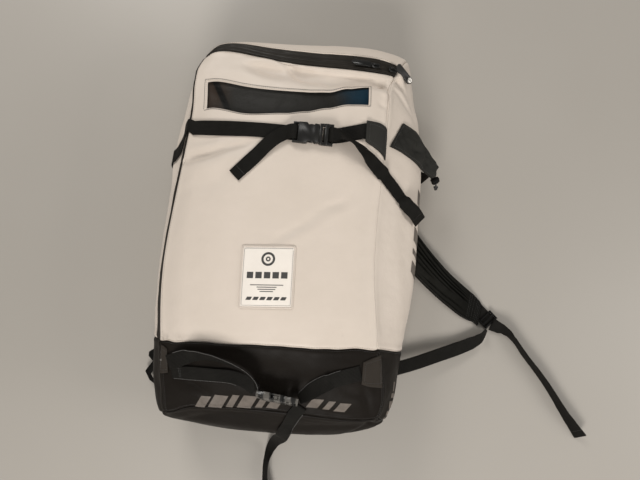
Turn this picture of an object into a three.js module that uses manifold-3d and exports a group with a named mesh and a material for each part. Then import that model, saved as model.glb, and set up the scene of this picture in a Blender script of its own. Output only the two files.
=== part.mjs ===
// Packed kite backpack bag, lying on its back panel.
// Millimetres, +Z up, +Y along the bag towards its zipped end, +X to its right side as seen from above.
// The origin is the middle of the back panel's flat face.

import * as THREE from 'three';
import { mergeVertices } from 'three/addons/utils/BufferGeometryUtils.js';
import Module from 'manifold-3d';

// Driving sizes.

const CLOTH = 1.6;
const SEAM_GAP = 0.36;
const FILL_GAP = 0.3;
const WEBBING = 25;
const WEB_THICK = 1.8;
const ZIP_WIDTH = 24;
const BACK_SEAM_Z = 6;
const CROWN = 11;

// Loop of stations round the bag, clockwise from above, from the lower left corner.
// f: front seam and m: widest line, each [x, y, z]. b: back seam [x, y].
// drop: how steeply the gusset leaves the front seam. steps: grid steps to the next station.
const STATIONS = [
  { at: 'left corner', f: [-186, -316, 128], m: [-206, -329, 86], b: [-154, -288], drop: 0.32, steps: 1 },
  { at: 'left base', f: [-191, -278, 144], m: [-225, -275, 90], b: [-166, -258], drop: 0.4, steps: 3 },
  { at: 'left boot seam', f: [-199, -196, 158], m: [-229, -196, 94], b: [-170, -196], drop: 0.42, steps: 4 },
  { at: 'left middle', f: [-203, -73, 167], m: [-229, -73, 96], b: [-172, -73], drop: 0.42, steps: 8 },
  { at: 'left window low', f: [-181, 192, 165], m: [-217, 192, 98], b: [-168, 192], drop: 0.42, steps: 2 },
  { at: 'left window high', f: [-184, 243, 163], m: [-209, 243, 102], b: [-166, 243], drop: 0.42, steps: 1 },
  { at: 'left top', f: [-185, 272, 159], m: [-204, 277, 105], b: [-162, 270], drop: 0.4, steps: 1 },
  { at: 'top left corner', f: [-177, 296, 155], m: [-188, 313, 106], b: [-148, 292], drop: 0.34, steps: 1 },
  { at: 'top window left', f: [-152, 302, 160], m: [-152, 341, 105], b: [-126, 303], drop: 0.24, steps: 5 },
  { at: 'top middle', f: [-18, 283, 179], m: [-6, 349, 104], b: [10, 306], drop: 0.2, steps: 5 },
  { at: 'top window right', f: [124, 276, 182], m: [128, 350, 99], b: [148, 303], drop: 0.2, steps: 2 },
  { at: 'top right corner', f: [157, 274, 174], m: [187, 334, 96], b: [180, 294], drop: 0.24, steps: 1 },
  { at: 'right top', f: [153, 262, 178], m: [200, 290, 96], b: [192, 270], drop: 0.28, steps: 1 },
  { at: 'right window high', f: [149, 249, 182], m: [207, 250, 96], b: [194, 246], drop: 0.3, steps: 2 },
  { at: 'right window low', f: [149, 216, 188], m: [217, 211, 96], b: [196, 212], drop: 0.3, steps: 8 },
  { at: 'right middle', f: [142, -42, 192], m: [230, -42, 94], b: [200, -42], drop: 0.3, steps: 4 },
  { at: 'right boot seam', f: [158, -179, 187], m: [216, -181, 92], b: [194, -180], drop: 0.3, steps: 3 },
  { at: 'right base', f: [173, -255, 172], m: [203, -260, 84], b: [186, -254], drop: 0.3, steps: 1 },
  { at: 'right corner', f: [166, -292, 152], m: [189, -311, 80], b: [168, -286], drop: 0.26, steps: 2 },
  { at: 'bottom right', f: [131, -298, 158], m: [134, -335, 81], b: [128, -300], drop: 0.24, steps: 5 },
  { at: 'bottom middle', f: [0, -292, 165], m: [0, -347, 83], b: [8, -303], drop: 0.24, steps: 5 },
  { at: 'bottom left', f: [-130, -297, 155], m: [-138, -340, 86], b: [-124, -300], drop: 0.26, steps: 1 },
];
const CORNERS = [0, 7, 11, 18];

// Depth rows of the gusset between the front seam, the zip's edge, the widest line and the back seam.
const ROWS_TO_WIDEST = 4;
const ROWS_TO_BACK = 4;
const DEPTH_ROWS = ROWS_TO_WIDEST + ROWS_TO_BACK;

// How far the window's edges and the boot seam sag below a straight line across the panel.
// across: 0 left, 1 right.
const SAG = [
  { across: 0, high: 0, low: 0, boot: 0 },
  { across: 0.1, high: 2, low: 9, boot: 10 },
  { across: 0.3, high: 12, low: 19, boot: 15 },
  { across: 0.5, high: 19, low: 15, boot: 11 },
  { across: 0.7, high: 20, low: 9, boot: 7 },
  { across: 0.9, high: 3, low: 2, boot: 3 },
  { across: 1, high: 0, low: 0, boot: 0 },
];

// Soft hollows of the front panel. turn: degrees from +X, long and wide: half sizes, deep: depth.
const HOLLOWS = [
  { x: 55, y: 262, turn: -3, long: 120, wide: 22, deep: 9 },
  { x: -140, y: 138, turn: 10, long: 55, wide: 24, deep: 4 },
  { x: 20, y: 30, turn: 35, long: 120, wide: 45, deep: 3 },
  { x: -60, y: -205, turn: 0, long: 140, wide: 30, deep: 3 },
];

// Small helpers.

const V = (x, y, z) => new THREE.Vector3(x, y, z);
const mix = (a, b, t) => a + (b - a) * t;
const radians = (degrees) => degrees * Math.PI / 180;
const kite = new THREE.Group();

function add(name, geometry, color, roughness, metalness = 0) {
  const material = new THREE.MeshStandardMaterial({ color, roughness, metalness });
  const mesh = new THREE.Mesh(geometry, material);
  mesh.name = name;
  kite.add(mesh);
  return mesh;
}

function solidFrom(points, triangles) {
  const geometry = new THREE.BufferGeometry();
  const flat = points.flatMap((p) => [p.x, p.y, p.z]);
  geometry.setAttribute('position', new THREE.Float32BufferAttribute(flat, 3));
  geometry.setIndex(triangles.flat());
  geometry.computeVertexNormals();
  return geometry;
}

function sampleTable(table, key, value, column) {
  const last = table.length - 1;
  let row = 0;
  while (row < last - 1 && value > table[row + 1][key]) row += 1;
  const from = table[row];
  const to = table[row + 1];
  const t = (value - from[key]) / (to[key] - from[key]);
  const eased = t * t * (3 - 2 * t);
  return mix(from[column], to[column], eased);
}

// The skin of the filled bag.

function loopOf(pick) {
  const curve = new THREE.CatmullRomCurve3(STATIONS.map(pick), true, 'centripetal');
  const points = [];
  STATIONS.forEach((station, row) => {
    for (let step = 0; step < station.steps; step += 1) {
      points.push(curve.getPoint((row + step / station.steps) / STATIONS.length));
    }
  });
  return points;
}

const frontLoop = loopOf((s) => V(...s.f));
const widestLoop = loopOf((s) => V(...s.m));
const backLoop = loopOf((s) => V(...s.b, BACK_SEAM_Z));
const dropLoop = loopOf((s) => V(s.drop, 0, 0)).map((p) => p.x);
const AROUND = frontLoop.length;

const stepsBetween = (from, to) => STATIONS.slice(from, to).reduce((sum, s) => sum + s.steps, 0);
const ALONG = stepsBetween(CORNERS[0], CORNERS[1]);
const ACROSS = stepsBetween(CORNERS[1], CORNERS[2]);
const BOOT_ROW = stepsBetween(0, 2);
const WINDOW_LOW = stepsBetween(0, 4);
const WINDOW_HIGH = stepsBetween(0, 5);
const WINDOW_LEFT = 1;
const WINDOW_RIGHT = ACROSS - 2;

const skin = [];
const keep = (point) => skin.push(point) - 1;

function gussetColumn(k) {
  const f = frontLoop[k];
  const m = widestLoop[k];
  const b = backLoop[k];
  const out = V(m.x - f.x, m.y - f.y, 0);
  const under = V(m.x - b.x, m.y - b.y, 0);
  const drop = dropLoop[k];
  const upper = new THREE.CubicBezierCurve3(
    f,
    f.clone().addScaledVector(out, 0.42).add(V(0, 0, -(f.z - m.z) * drop)),
    m.clone().add(V(0, 0, (f.z - m.z) * 0.5)),
    m,
  );
  const lower = new THREE.CubicBezierCurve3(
    m,
    m.clone().add(V(0, 0, -(m.z - b.z) * 0.6)),
    b.clone().addScaledVector(under, 0.55),
    b,
  );
  const zipEdge = Math.min(ZIP_WIDTH / upper.getLength(), 0.45);
  const ids = [];
  for (let row = 0; row <= DEPTH_ROWS; row += 1) {
    if (row <= ROWS_TO_WIDEST) {
      const u = row === 0 ? 0 : mix(zipEdge, 1, (row - 1) / (ROWS_TO_WIDEST - 1));
      ids.push(keep(upper.getPointAt(u)));
    } else {
      ids.push(keep(lower.getPointAt((row - ROWS_TO_WIDEST) / ROWS_TO_BACK)));
    }
  }
  return ids;
}

const band = frontLoop.map((_, k) => gussetColumn(k));

// A four-sided net between the loop's vertices in one depth row.
function netOf(row, shape) {
  const at = (k) => band[(k + AROUND) % AROUND][row];
  const left = (j) => at(j);
  const top = (i) => at(ALONG + i);
  const right = (j) => at(2 * ALONG + ACROSS - j);
  const bottom = (i) => at(-i);
  const net = [];
  const p = (id) => skin[id];
  const span = (list, n) => {
    const lengths = [0];
    for (let n1 = 1; n1 <= n; n1 += 1) {
      lengths.push(lengths[n1 - 1] + p(list(n1)).distanceTo(p(list(n1 - 1))));
    }
    return lengths.map((length) => length / lengths[n]);
  };
  const sTop = span(top, ACROSS);
  const sBottom = span(bottom, ACROSS);
  const tLeft = span(left, ALONG);
  const tRight = span(right, ALONG);
  for (let i = 0; i <= ACROSS; i += 1) {
    net.push([]);
    for (let j = 0; j <= ALONG; j += 1) {
      if (i === 0) net[i].push(left(j));
      else if (i === ACROSS) net[i].push(right(j));
      else if (j === 0) net[i].push(bottom(i));
      else if (j === ALONG) net[i].push(top(i));
      else {
        const s = (mix(sBottom[i], sTop[i], j / ALONG));
        const t = (mix(tLeft[j], tRight[j], i / ACROSS));
        const point = V(0, 0, 0)
          .addScaledVector(p(left(j)), 1 - s)
          .addScaledVector(p(right(j)), s)
          .addScaledVector(p(bottom(i)), 1 - t)
          .addScaledVector(p(top(i)), t)
          .addScaledVector(p(left(0)), -(1 - s) * (1 - t))
          .addScaledVector(p(right(0)), -s * (1 - t))
          .addScaledVector(p(left(ALONG)), -(1 - s) * t)
          .addScaledVector(p(right(ALONG)), -s * t);
        net[i].push(keep(shape(point, s, t, i, j)));
      }
    }
  }
  return net;
}

function hollowAt(x, y) {
  let depth = 0;
  for (const h of HOLLOWS) {
    const turn = radians(h.turn);
    const u = ((x - h.x) * Math.cos(turn) + (y - h.y) * Math.sin(turn)) / h.long;
    const v = ((y - h.y) * Math.cos(turn) - (x - h.x) * Math.sin(turn)) / h.wide;
    depth += h.deep * Math.exp(-u * u - v * v);
  }
  return depth;
}

function crown(point, s, t, i, j) {
  const rise = CROWN * (1 - Math.abs(2 * s - 1) ** 2.2) * (1 - Math.abs(2 * t - 1) ** 3.2);
  const nearHigh = Math.max(0, 1 - Math.abs(j - WINDOW_HIGH) / 2);
  const nearLow = Math.max(0, 1 - Math.abs(j - WINDOW_LOW) / 5);
  const nearBoot = Math.max(0, 1 - Math.abs(j - BOOT_ROW) / 3);
  const sag = sampleTable(SAG, 'across', s, 'high') * nearHigh
    + sampleTable(SAG, 'across', s, 'low') * (j >= WINDOW_HIGH ? 0 : nearLow * (1 - nearHigh))
    + sampleTable(SAG, 'across', s, 'boot') * nearBoot;
  point.y -= sag;
  point.z += rise;
  point.z -= hollowAt(point.x, point.y);
  return point;
}

const frontNet = netOf(0, crown);
const backNet = netOf(DEPTH_ROWS, (point) => V(point.x, point.y, 0));

const bandCell = (k, row) => {
  const next = (k + 1) % AROUND;
  return [band[k][row], band[next][row], band[next][row + 1], band[k][row + 1]];
};
const frontCell = (i, j) => [frontNet[i][j], frontNet[i + 1][j], frontNet[i + 1][j + 1], frontNet[i][j + 1]];
const backCell = (i, j) => [backNet[i][j], backNet[i][j + 1], backNet[i + 1][j + 1], backNet[i + 1][j]];

function cellsOf(make, from, to, rowFrom, rowTo) {
  const cells = [];
  for (let a = from; a < to; a += 1) {
    for (let b = rowFrom; b < rowTo; b += 1) cells.push(make(a, b));
  }
  return cells;
}

const allCells = [
  ...cellsOf(bandCell, 0, AROUND, 0, DEPTH_ROWS),
  ...cellsOf(frontCell, 0, ACROSS, 0, ALONG),
  ...cellsOf(backCell, 0, ACROSS, 0, ALONG),
];
const trianglesOf = (cells) => cells.flatMap(([a, b, c, d]) => [[a, b, c], [a, c, d]]);

const skinNormals = skin.map(() => V(0, 0, 0));
for (const [a, b, c] of trianglesOf(allCells)) {
  const face = skin[b].clone().sub(skin[a]).cross(skin[c].clone().sub(skin[a])).normalize();
  for (const [at, one, other] of [[a, b, c], [b, c, a], [c, a, b]]) {
    const angle = skin[one].clone().sub(skin[at]).angleTo(skin[other].clone().sub(skin[at]));
    skinNormals[at].addScaledVector(face, angle);
  }
}
skinNormals.forEach((normal) => normal.normalize());

// A cloth panel: the cells' sheet, let in below the skin, drawn back from its neighbours at its edge.
function panelOf(cells, inset = 0, thick = CLOTH) {
  const edges = new Map();
  for (const cell of cells) {
    for (let n = 0; n < 4; n += 1) {
      const a = cell[n];
      const b = cell[(n + 1) % 4];
      const back = `${b},${a}`;
      if (edges.has(back)) edges.delete(back);
      else edges.set(`${a},${b}`, [a, b]);
    }
  }
  const inward = new Map();
  for (const [a, b] of edges.values()) {
    for (const id of [a, b]) {
      const side = skinNormals[id].clone().cross(skin[b].clone().sub(skin[a])).normalize();
      inward.set(id, [...(inward.get(id) ?? []), side]);
    }
  }
  const slot = new Map();
  const outer = [];
  const inner = [];
  for (const id of cells.flat()) {
    if (slot.has(id)) continue;
    slot.set(id, outer.length);
    const point = skin[id].clone();
    const sides = inward.get(id);
    if (sides) {
      const other = sides[1] ?? sides[0];
      const shift = SEAM_GAP / 2 / (1 + sides[0].dot(other));
      point.addScaledVector(sides[0], shift).addScaledVector(other, shift);
    }
    outer.push(point.clone().addScaledVector(skinNormals[id], -inset));
    inner.push(point.clone().addScaledVector(skinNormals[id], -inset - thick));
  }
  const count = outer.length;
  const own = trianglesOf(cells).map((triangle) => triangle.map((id) => slot.get(id)));
  const triangles = [
    ...own,
    ...own.map(([a, b, c]) => [a + count, c + count, b + count]),
  ];
  for (const [a, b] of edges.values()) {
    const one = slot.get(a);
    const two = slot.get(b);
    triangles.push([one, one + count, two + count], [one, two + count, two]);
  }
  return solidFrom([...outer, ...inner], triangles);
}

const leftBoot = BOOT_ROW;
const topLeft = ALONG;
const topRight = ALONG + ACROSS;
const rightBoot = 2 * ALONG + ACROSS - BOOT_ROW;
const bottomRight = 2 * ALONG + ACROSS;

const isWindow = (i, j) => i >= WINDOW_LEFT && i < WINDOW_RIGHT && j >= WINDOW_LOW && j < WINDOW_HIGH;
const frontCells = [];
const windowCells = [];
for (let i = 0; i < ACROSS; i += 1) {
  for (let j = BOOT_ROW; j < ALONG; j += 1) {
    (isWindow(i, j) ? windowCells : frontCells).push(frontCell(i, j));
  }
}

const CREAM = 0xcfc4b4;
const BLACK = 0x25231f;

const fill = skin.map((p, id) => p.clone().addScaledVector(skinNormals[id], -CLOTH - FILL_GAP));
add('packed_kite', solidFrom(fill, trianglesOf(allCells)), 0x22262c, 0.7);
add('front_panel', panelOf(frontCells), CREAM, 0.6);
add('window_sheet', panelOf(windowCells, 0.6, CLOTH - 0.6), 0x2a2724, 0.45);
add('front_base', panelOf(cellsOf(frontCell, 0, ACROSS, 0, BOOT_ROW)), BLACK, 0.7);
add('zip_tape', panelOf(cellsOf(bandCell, leftBoot, topRight, 0, 1), 0.4, CLOTH - 0.4), 0x1b1a19, 0.5);
add('left_gusset', panelOf(cellsOf(bandCell, leftBoot, topLeft, 1, DEPTH_ROWS)), CREAM, 0.6);
add('left_base', panelOf(cellsOf(bandCell, 0, leftBoot, 0, DEPTH_ROWS)), BLACK, 0.7);
add('top_gusset', panelOf(cellsOf(bandCell, topLeft, topRight, 1, DEPTH_ROWS)), CREAM, 0.6);
add('right_gusset', panelOf(cellsOf(bandCell, topRight, rightBoot, 0, DEPTH_ROWS)), CREAM, 0.6);
add('right_base', panelOf(cellsOf(bandCell, rightBoot, bottomRight, 0, DEPTH_ROWS)), BLACK, 0.7);
add('bottom_end', panelOf(cellsOf(bandCell, bottomRight, AROUND, 0, DEPTH_ROWS)), BLACK, 0.7);
add('back_panel', panelOf(cellsOf(backCell, 0, ACROSS, 0, ALONG)), 0x2b2926, 0.8);


// Cloth and webbing laid on the skin.

const skinMesh = new THREE.Mesh(
  solidFrom(skin, trianglesOf(allCells)),
  new THREE.MeshStandardMaterial({ side: THREE.DoubleSide }),
);
const caster = new THREE.Raycaster();

function hitFrom(origin, direction) {
  caster.set(origin, direction);
  return caster.intersectObject(skinMesh)[0] ?? null;
}

function topAt(x, y) {
  const hit = hitFrom(V(x, y, 500), V(0, 0, -1));
  return hit ? hit.point.z : 0;
}

// A point on the gusset, by place along the loop and depth row, lifted off the cloth.
function gussetPoint(k, depth, lift) {
  const k0 = Math.floor(k);
  const d0 = Math.min(Math.floor(depth), DEPTH_ROWS - 1);
  const u = k - k0;
  const v = depth - d0;
  const blend = (source) => {
    const at = (dk, dd) => source[band[(k0 + dk) % AROUND][d0 + dd]];
    return V(0, 0, 0)
      .addScaledVector(at(0, 0), (1 - u) * (1 - v))
      .addScaledVector(at(1, 0), u * (1 - v))
      .addScaledVector(at(0, 1), (1 - u) * v)
      .addScaledVector(at(1, 1), u * v);
  };
  const normal = blend(skinNormals).normalize();
  return blend(skin).addScaledVector(normal, lift);
}

// Raises a laid net wherever it would touch the cloth below it.
const CLEAR = 0.4;
const SPOTS = [0, 0.25, 0.5, 0.75, 1];

function seat(net) {
  for (let pass = 0; pass < 2; pass += 1) {
    for (let r = 0; r < net.length - 1; r += 1) {
      for (let c = 0; c < net[r].length - 1; c += 1) {
        const corners = [net[r][c], net[r][c + 1], net[r + 1][c], net[r + 1][c + 1]];
        let short = 0;
        for (const u of SPOTS) {
          for (const v of SPOTS) {
            const left = corners[0].clone().lerp(corners[2], u);
            const spot = left.lerp(corners[1].clone().lerp(corners[3], u), v);
            const top = topAt(spot.x, spot.y);
            if (top > 0 && spot.z > top - 25) short = Math.max(short, top + CLEAR - spot.z);
          }
        }
        corners.forEach((corner) => { corner.z += short; });
      }
    }
  }
  return net;
}

// A closed sheet on a net of points, thick along its own normals. thick may differ along the rows.
function sheetOn(net, thick) {
  const rows = net.length;
  const columns = net[0].length;
  const at = (r, c) => net[Math.max(0, Math.min(rows - 1, r))][Math.max(0, Math.min(columns - 1, c))];
  const under = [];
  const over = [];
  for (let r = 0; r < rows; r += 1) {
    for (let c = 0; c < columns; c += 1) {
      const along = at(r + 1, c).clone().sub(at(r - 1, c));
      const across = at(r, c + 1).clone().sub(at(r, c - 1));
      const depth = typeof thick === 'function' ? thick(r / (rows - 1), c / (columns - 1)) : thick;
      under.push(at(r, c).clone());
      over.push(at(r, c).clone().addScaledVector(across.cross(along).normalize(), depth));
    }
  }
  const id = (r, c) => r * columns + c;
  const count = rows * columns;
  const triangles = [];
  const quad = (a, b, c, d) => triangles.push([a, b, c], [a, c, d]);
  for (let r = 0; r < rows - 1; r += 1) {
    for (let c = 0; c < columns - 1; c += 1) {
      quad(id(r, c), id(r + 1, c), id(r + 1, c + 1), id(r, c + 1));
      quad(id(r, c) + count, id(r, c + 1) + count, id(r + 1, c + 1) + count, id(r + 1, c) + count);
    }
  }
  for (let r = 0; r < rows - 1; r += 1) {
    const last = columns - 1;
    quad(id(r, 0), id(r, 0) + count, id(r + 1, 0) + count, id(r + 1, 0));
    quad(id(r, last), id(r + 1, last), id(r + 1, last) + count, id(r, last) + count);
  }
  for (let c = 0; c < columns - 1; c += 1) {
    const last = rows - 1;
    quad(id(0, c), id(0, c + 1), id(0, c + 1) + count, id(0, c) + count);
    quad(id(last, c), id(last, c) + count, id(last, c + 1) + count, id(last, c + 1));
  }
  return solidFrom([...under, ...over], triangles);
}

// Webbing along rows of { x, y, over | z, bank }. over: height above the cloth below, z: height above
// the floor, bank: degrees by which the webbing's left edge stands higher than its right one,
// stiff: the webbing stays straight across on a rounded edge.
function webbingNet(rows, width, step) {
  const heightOf = (row) => {
    const stand = Math.abs(Math.sin(radians(row.bank ?? 0))) * width / 2;
    return row.z ?? topAt(row.x, row.y) + row.over + stand;
  };
  const middle = rows.map((row) => V(row.x, row.y, heightOf(row)));
  const curve = new THREE.CatmullRomCurve3(middle, false, 'centripetal');
  const net = [];
  const spans = rows.length - 1;
  for (let n = 0; n < spans; n += 1) {
    const from = rows[n];
    const to = rows[n + 1];
    const length = Math.hypot(to.x - from.x, to.y - from.y);
    const count = Math.max(1, Math.round(length / (to.step ?? step)));
    for (let c = n === 0 ? 0 : 1; c <= count; c += 1) {
      const u = c / count;
      const point = curve.getPoint((n + u) / spans);
      const tangent = curve.getTangent((n + u) / spans);
      const out = V(-tangent.y, tangent.x, 0).normalize();
      const laid = from.over !== undefined && to.over !== undefined
        && from.bank === undefined && to.bank === undefined;
      let bank = radians(mix(from.bank ?? 0, to.bank ?? 0, u));
      if (laid) {
        const probe = out.clone().multiplyScalar(width * 0.3);
        const ahead = topAt(point.x + probe.x, point.y + probe.y);
        const rise = ahead - topAt(point.x - probe.x, point.y - probe.y);
        bank = Math.atan2(rise, width * 0.6);
      }
      const side = out.clone().multiplyScalar(width / 2 * Math.cos(bank));
      const left = point.clone().add(side).add(V(0, 0, width / 2 * Math.sin(bank)));
      const right = point.clone().sub(side).sub(V(0, 0, width / 2 * Math.sin(bank)));
      if (laid) {
        const over = mix(from.over, to.over, u) / Math.cos(bank);
        if (!to.stiff) {
          left.z = topAt(left.x, left.y) + over;
          right.z = topAt(right.x, right.y) + over;
        }
        const raise = topAt(point.x, point.y) + over - (left.z + right.z) / 2;
        left.z += to.stiff ? raise : Math.max(0, raise);
        right.z += to.stiff ? raise : Math.max(0, raise);
      }
      left.z = Math.max(0, left.z);
      right.z = Math.max(0, right.z);
      net.push([left, right]);
    }
  }
  return seat(net);
}

const WEB_COLOR = 0x1c1b1a;

function addWebbing(name, rows, { width = WEBBING, thick = WEB_THICK, step = 14 } = {}) {
  add(name, sheetOn(webbingNet(rows, width, step), thick), WEB_COLOR, 0.75);
}

const LIE = 0.9;

// Upper strap, left half: down the gusset, over the zip and the front seam, across the panel.
const wrapRows = [
  { depth: 5.2, low: 13.2, high: 14.1 },
  { depth: 4.7, low: 13.35, high: 14.25 },
  { depth: 4, low: 13.55, high: 14.45 },
  { depth: 3.2, low: 13.8, high: 14.7 },
  { depth: 2.4, low: 14.05, high: 14.95 },
  { depth: 1.6, low: 14.25, high: 15.15 },
  { depth: 1, low: 14.4, high: 15.3 },
  { depth: 0.5, low: 14.5, high: 15.4 },
  { depth: 0.15, low: 14.6, high: 15.5 },
];
const wrapNet = wrapRows.map((row) => [
  gussetPoint(row.high, row.depth, 1.5),
  gussetPoint(row.low, row.depth, 1.5),
]);
const seamEnd = gussetPoint(15.5, 0, 1.6);
const seamStart = gussetPoint(14.62, 0, 1.6);
const upperLeftNet = webbingNet([
  { x: -172, y: 160, over: LIE + 0.5 },
  { x: -150, y: 159.2, over: LIE },
  { x: -80, y: 157.5, over: LIE },
  { x: -8, y: 154.2, over: LIE },
  { x: 2.4, y: 154, over: LIE },
], WEBBING, 14);
const leftStrapNet = [...wrapNet, [seamEnd, seamStart], ...upperLeftNet];
add('upper_strap_left', sheetOn(leftStrapNet, WEB_THICK), WEB_COLOR, 0.75);

addWebbing('upper_tail_left', [
  { x: 4, y: 153.6, z: 214.6, step: 4 },
  { x: -0.8, y: 153.8, z: 217.6, step: 4 },
  { x: -6, y: 153.6, z: 216, step: 5 },
  { x: -14, y: 152.5, over: 4.4, step: 6 },
  { x: -30, y: 143, over: 4.2 },
  { x: -44, y: 130, over: 3, step: 8 },
  { x: -58, y: 114, over: LIE },
  { x: -92, y: 78, over: LIE, step: 12 },
], { width: WEBBING - 1 });

addWebbing('upper_strap_right', [
  { x: 57.8, y: 152.6, over: LIE },
  { x: 69, y: 154.6, over: LIE },
  { x: 90, y: 160.5, over: LIE },
  { x: 109.6, y: 166.5, over: LIE },
]);

addWebbing('upper_tail_right', [
  { x: 56, y: 152.4, z: 214.6, step: 4 },
  { x: 61.4, y: 152.6, z: 217.8, step: 4 },
  { x: 67.5, y: 152.4, z: 216.2, step: 5 },
  { x: 79, y: 150, over: 4.6, step: 6 },
  { x: 97, y: 141, over: 4.4 },
  { x: 112, y: 129, over: 2.4, step: 8 },
  { x: 128, y: 116, over: 1.2 },
  { x: 150, y: 100, over: 1.4, step: 9 },
  { x: 170, y: 83, over: 1.4, step: 8, stiff: true },
  { x: 189, y: 64, over: 1.4, step: 8, stiff: true },
  { x: 206, y: 49, over: 1.4, step: 8, stiff: true },
  { x: 224.5, y: 35, over: 1.2, step: 7, stiff: true },
], { width: WEBBING - 1 });

// Patches, laid on the cloth: rows of { x, low, high } with the low and high edge along Y.
function patchNet(rows, over, columns) {
  return rows.map((row) => {
    const line = [];
    for (let c = 0; c <= columns; c += 1) {
      const y = mix(row.high, row.low, c / columns);
      const x = row.x + (row.lean ?? 0) * c / columns;
      line.push(V(x, y, topAt(x, y) + over));
    }
    return line;
  });
}

const upperPatchRows = [
  { x: 114, low: 150, high: 184 },
  { x: 126, low: 144.5, high: 185 },
  { x: 137, low: 138.5, high: 184.5 },
  { x: 144.5, low: 132, high: 181 },
  { x: 148.5, low: 126, high: 177 },
];
add('upper_patch_right', sheetOn(seat(patchNet(upperPatchRows, LIE, 4)), 2.2), 0x33322f, 0.8);

const lowerPatchLeftRows = [
  { x: -191, low: -249, high: -202 },
  { x: -186, low: -249, high: -204 },
  { x: -179, low: -246, high: -208, lean: 3 },
];
add('lower_patch_left', sheetOn(seat(patchNet(lowerPatchLeftRows, LIE, 3)), 2), 0x2f2d2a, 0.8);

const lowerPatchRightRows = [
  { x: 133, low: -234, high: -200 },
  { x: 146, low: -237.5, high: -194 },
  { x: 158, low: -238.5, high: -188.5, lean: 3 },
  { x: 160.5, low: -239, high: -187, lean: 7 },
];
add('lower_patch_right', sheetOn(seat(patchNet(lowerPatchRightRows, LIE, 3)), 2), 0x3a3733, 0.8);

// Lower strap: slack, turned on its edge towards the buckle.
addWebbing('lower_strap_left', [
  { x: -170.5, y: -227, over: 3.6 },
  { x: -158, y: -222.5, over: 3.6 },
  { x: -145, y: -215.5, over: 3, bank: 26 },
  { x: -127, y: -211, over: 3.2, bank: 56 },
  { x: -104, y: -213.5, over: 4, bank: 66 },
  { x: -72, y: -222, over: 4.4, bank: 68 },
  { x: -44, y: -238, over: 4.4, bank: 70 },
  { x: -24.4, y: -256.4, over: 4, bank: 70 },
], { step: 10 });

addWebbing('lower_tail_left', [
  { x: -168, y: -243, over: LIE },
  { x: -136, y: -238, over: LIE },
  { x: -100, y: -235, over: LIE },
  { x: -64, y: -231, over: LIE },
  { x: -40, y: -238, over: LIE },
], { width: WEBBING - 3, step: 12 });

addWebbing('lower_strap_right', [
  { x: 128.3, y: -219, over: LIE },
  { x: 106, y: -226, over: LIE },
  { x: 82, y: -235.5, over: LIE },
  { x: 64, y: -246, over: 2, bank: 20 },
  { x: 51, y: -256.5, over: 2.6, bank: 46 },
  { x: 41.6, y: -265, over: 3.4, bank: 66 },
], { step: 11 });

addWebbing('lower_tail_right', [
  { x: 44, y: -279, over: LIE },
  { x: 34, y: -295, over: LIE, step: 8 },
  { x: 26, y: -313, over: 1.6, step: 7, stiff: true },
  { x: 19.5, y: -329, over: 2, step: 7, stiff: true },
  { x: 14, y: -346, z: 112, bank: 12, step: 6 },
  { x: 8, y: -359, z: 84, bank: 22, step: 6 },
  { x: 2, y: -371, z: 54, bank: 30, step: 6 },
  { x: -5, y: -387, z: 26, bank: 38, step: 7 },
  { x: -11, y: -403, z: 12, bank: 48, step: 7 },
  { x: -15.5, y: -422, z: 11.6, bank: 62, step: 7 },
  { x: -16, y: -448, z: 11.4, bank: 62 },
  { x: -11, y: -474, z: 9.5, bank: 46 },
  { x: -2, y: -496, z: 3.6, bank: 14 },
  { x: 7, y: -512, z: 0, bank: 0 },
  { x: 18, y: -530, z: 0, bank: 0 },
], { width: WEBBING - 2, step: 12 });

// Label.

const LABEL = { left: -66, right: 17, low: -123, high: -34, lean: -0.045, radius: 6, rim: 5 };

function labelPoint(u, v, over) {
  const y = mix(LABEL.low, LABEL.high, v);
  const x = mix(LABEL.left, LABEL.right, u) + (y - LABEL.high) * LABEL.lean;
  return V(x, y + (u - 0.5) * 3, topAt(x, y) + over);
}

function labelGrid(inset, over, columns, rows) {
  const w = LABEL.right - LABEL.left;
  const h = LABEL.high - LABEL.low;
  const net = [];
  for (let r = 0; r <= rows; r += 1) {
    const line = [];
    const v = mix(inset / h, 1 - inset / h, r / rows);
    for (let c = 0; c <= columns; c += 1) {
      line.push(labelPoint(mix(inset / w, 1 - inset / w, c / columns), v, over));
    }
    net.push(line);
  }
  return net;
}
add('label', sheetOn(seat(labelGrid(LABEL.rim + 0.8, LIE, 3, 3)), 1.4), 0xe9e4da, 0.5);

function rimNet() {
  const w = LABEL.right - LABEL.left;
  const h = LABEL.high - LABEL.low;
  const sides = [];
  const ring = (inset, radius) => {
    const points = [];
    const corners = [[1, 1], [0, 1], [0, 0], [1, 0]];
    corners.forEach(([cu, cv], n) => {
      for (let step = 0; step <= 2; step += 1) {
        const angle = Math.PI / 2 * (n + step / 2);
        const x = mix(inset + radius, w - inset - radius, cu) + Math.cos(angle) * radius;
        const y = mix(inset + radius, h - inset - radius, cv) + Math.sin(angle) * radius;
        points.push([x / w, y / h]);
      }
    });
    return points;
  };
  const outer = ring(0, LABEL.radius);
  const inner = ring(LABEL.rim, 1.5);
  const split = (from, to, n) => [mix(from[0], to[0], n), mix(from[1], to[1], n)];
  outer.forEach((point, n) => {
    const next = (n + 1) % outer.length;
    const long = n % 3 === 2;
    const parts = long ? 3 : 1;
    for (let part = 0; part < parts; part += 1) {
      sides.push([split(point, outer[next], part / parts), split(inner[n], inner[next], part / parts)]);
    }
  });
  return sides;
}

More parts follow.
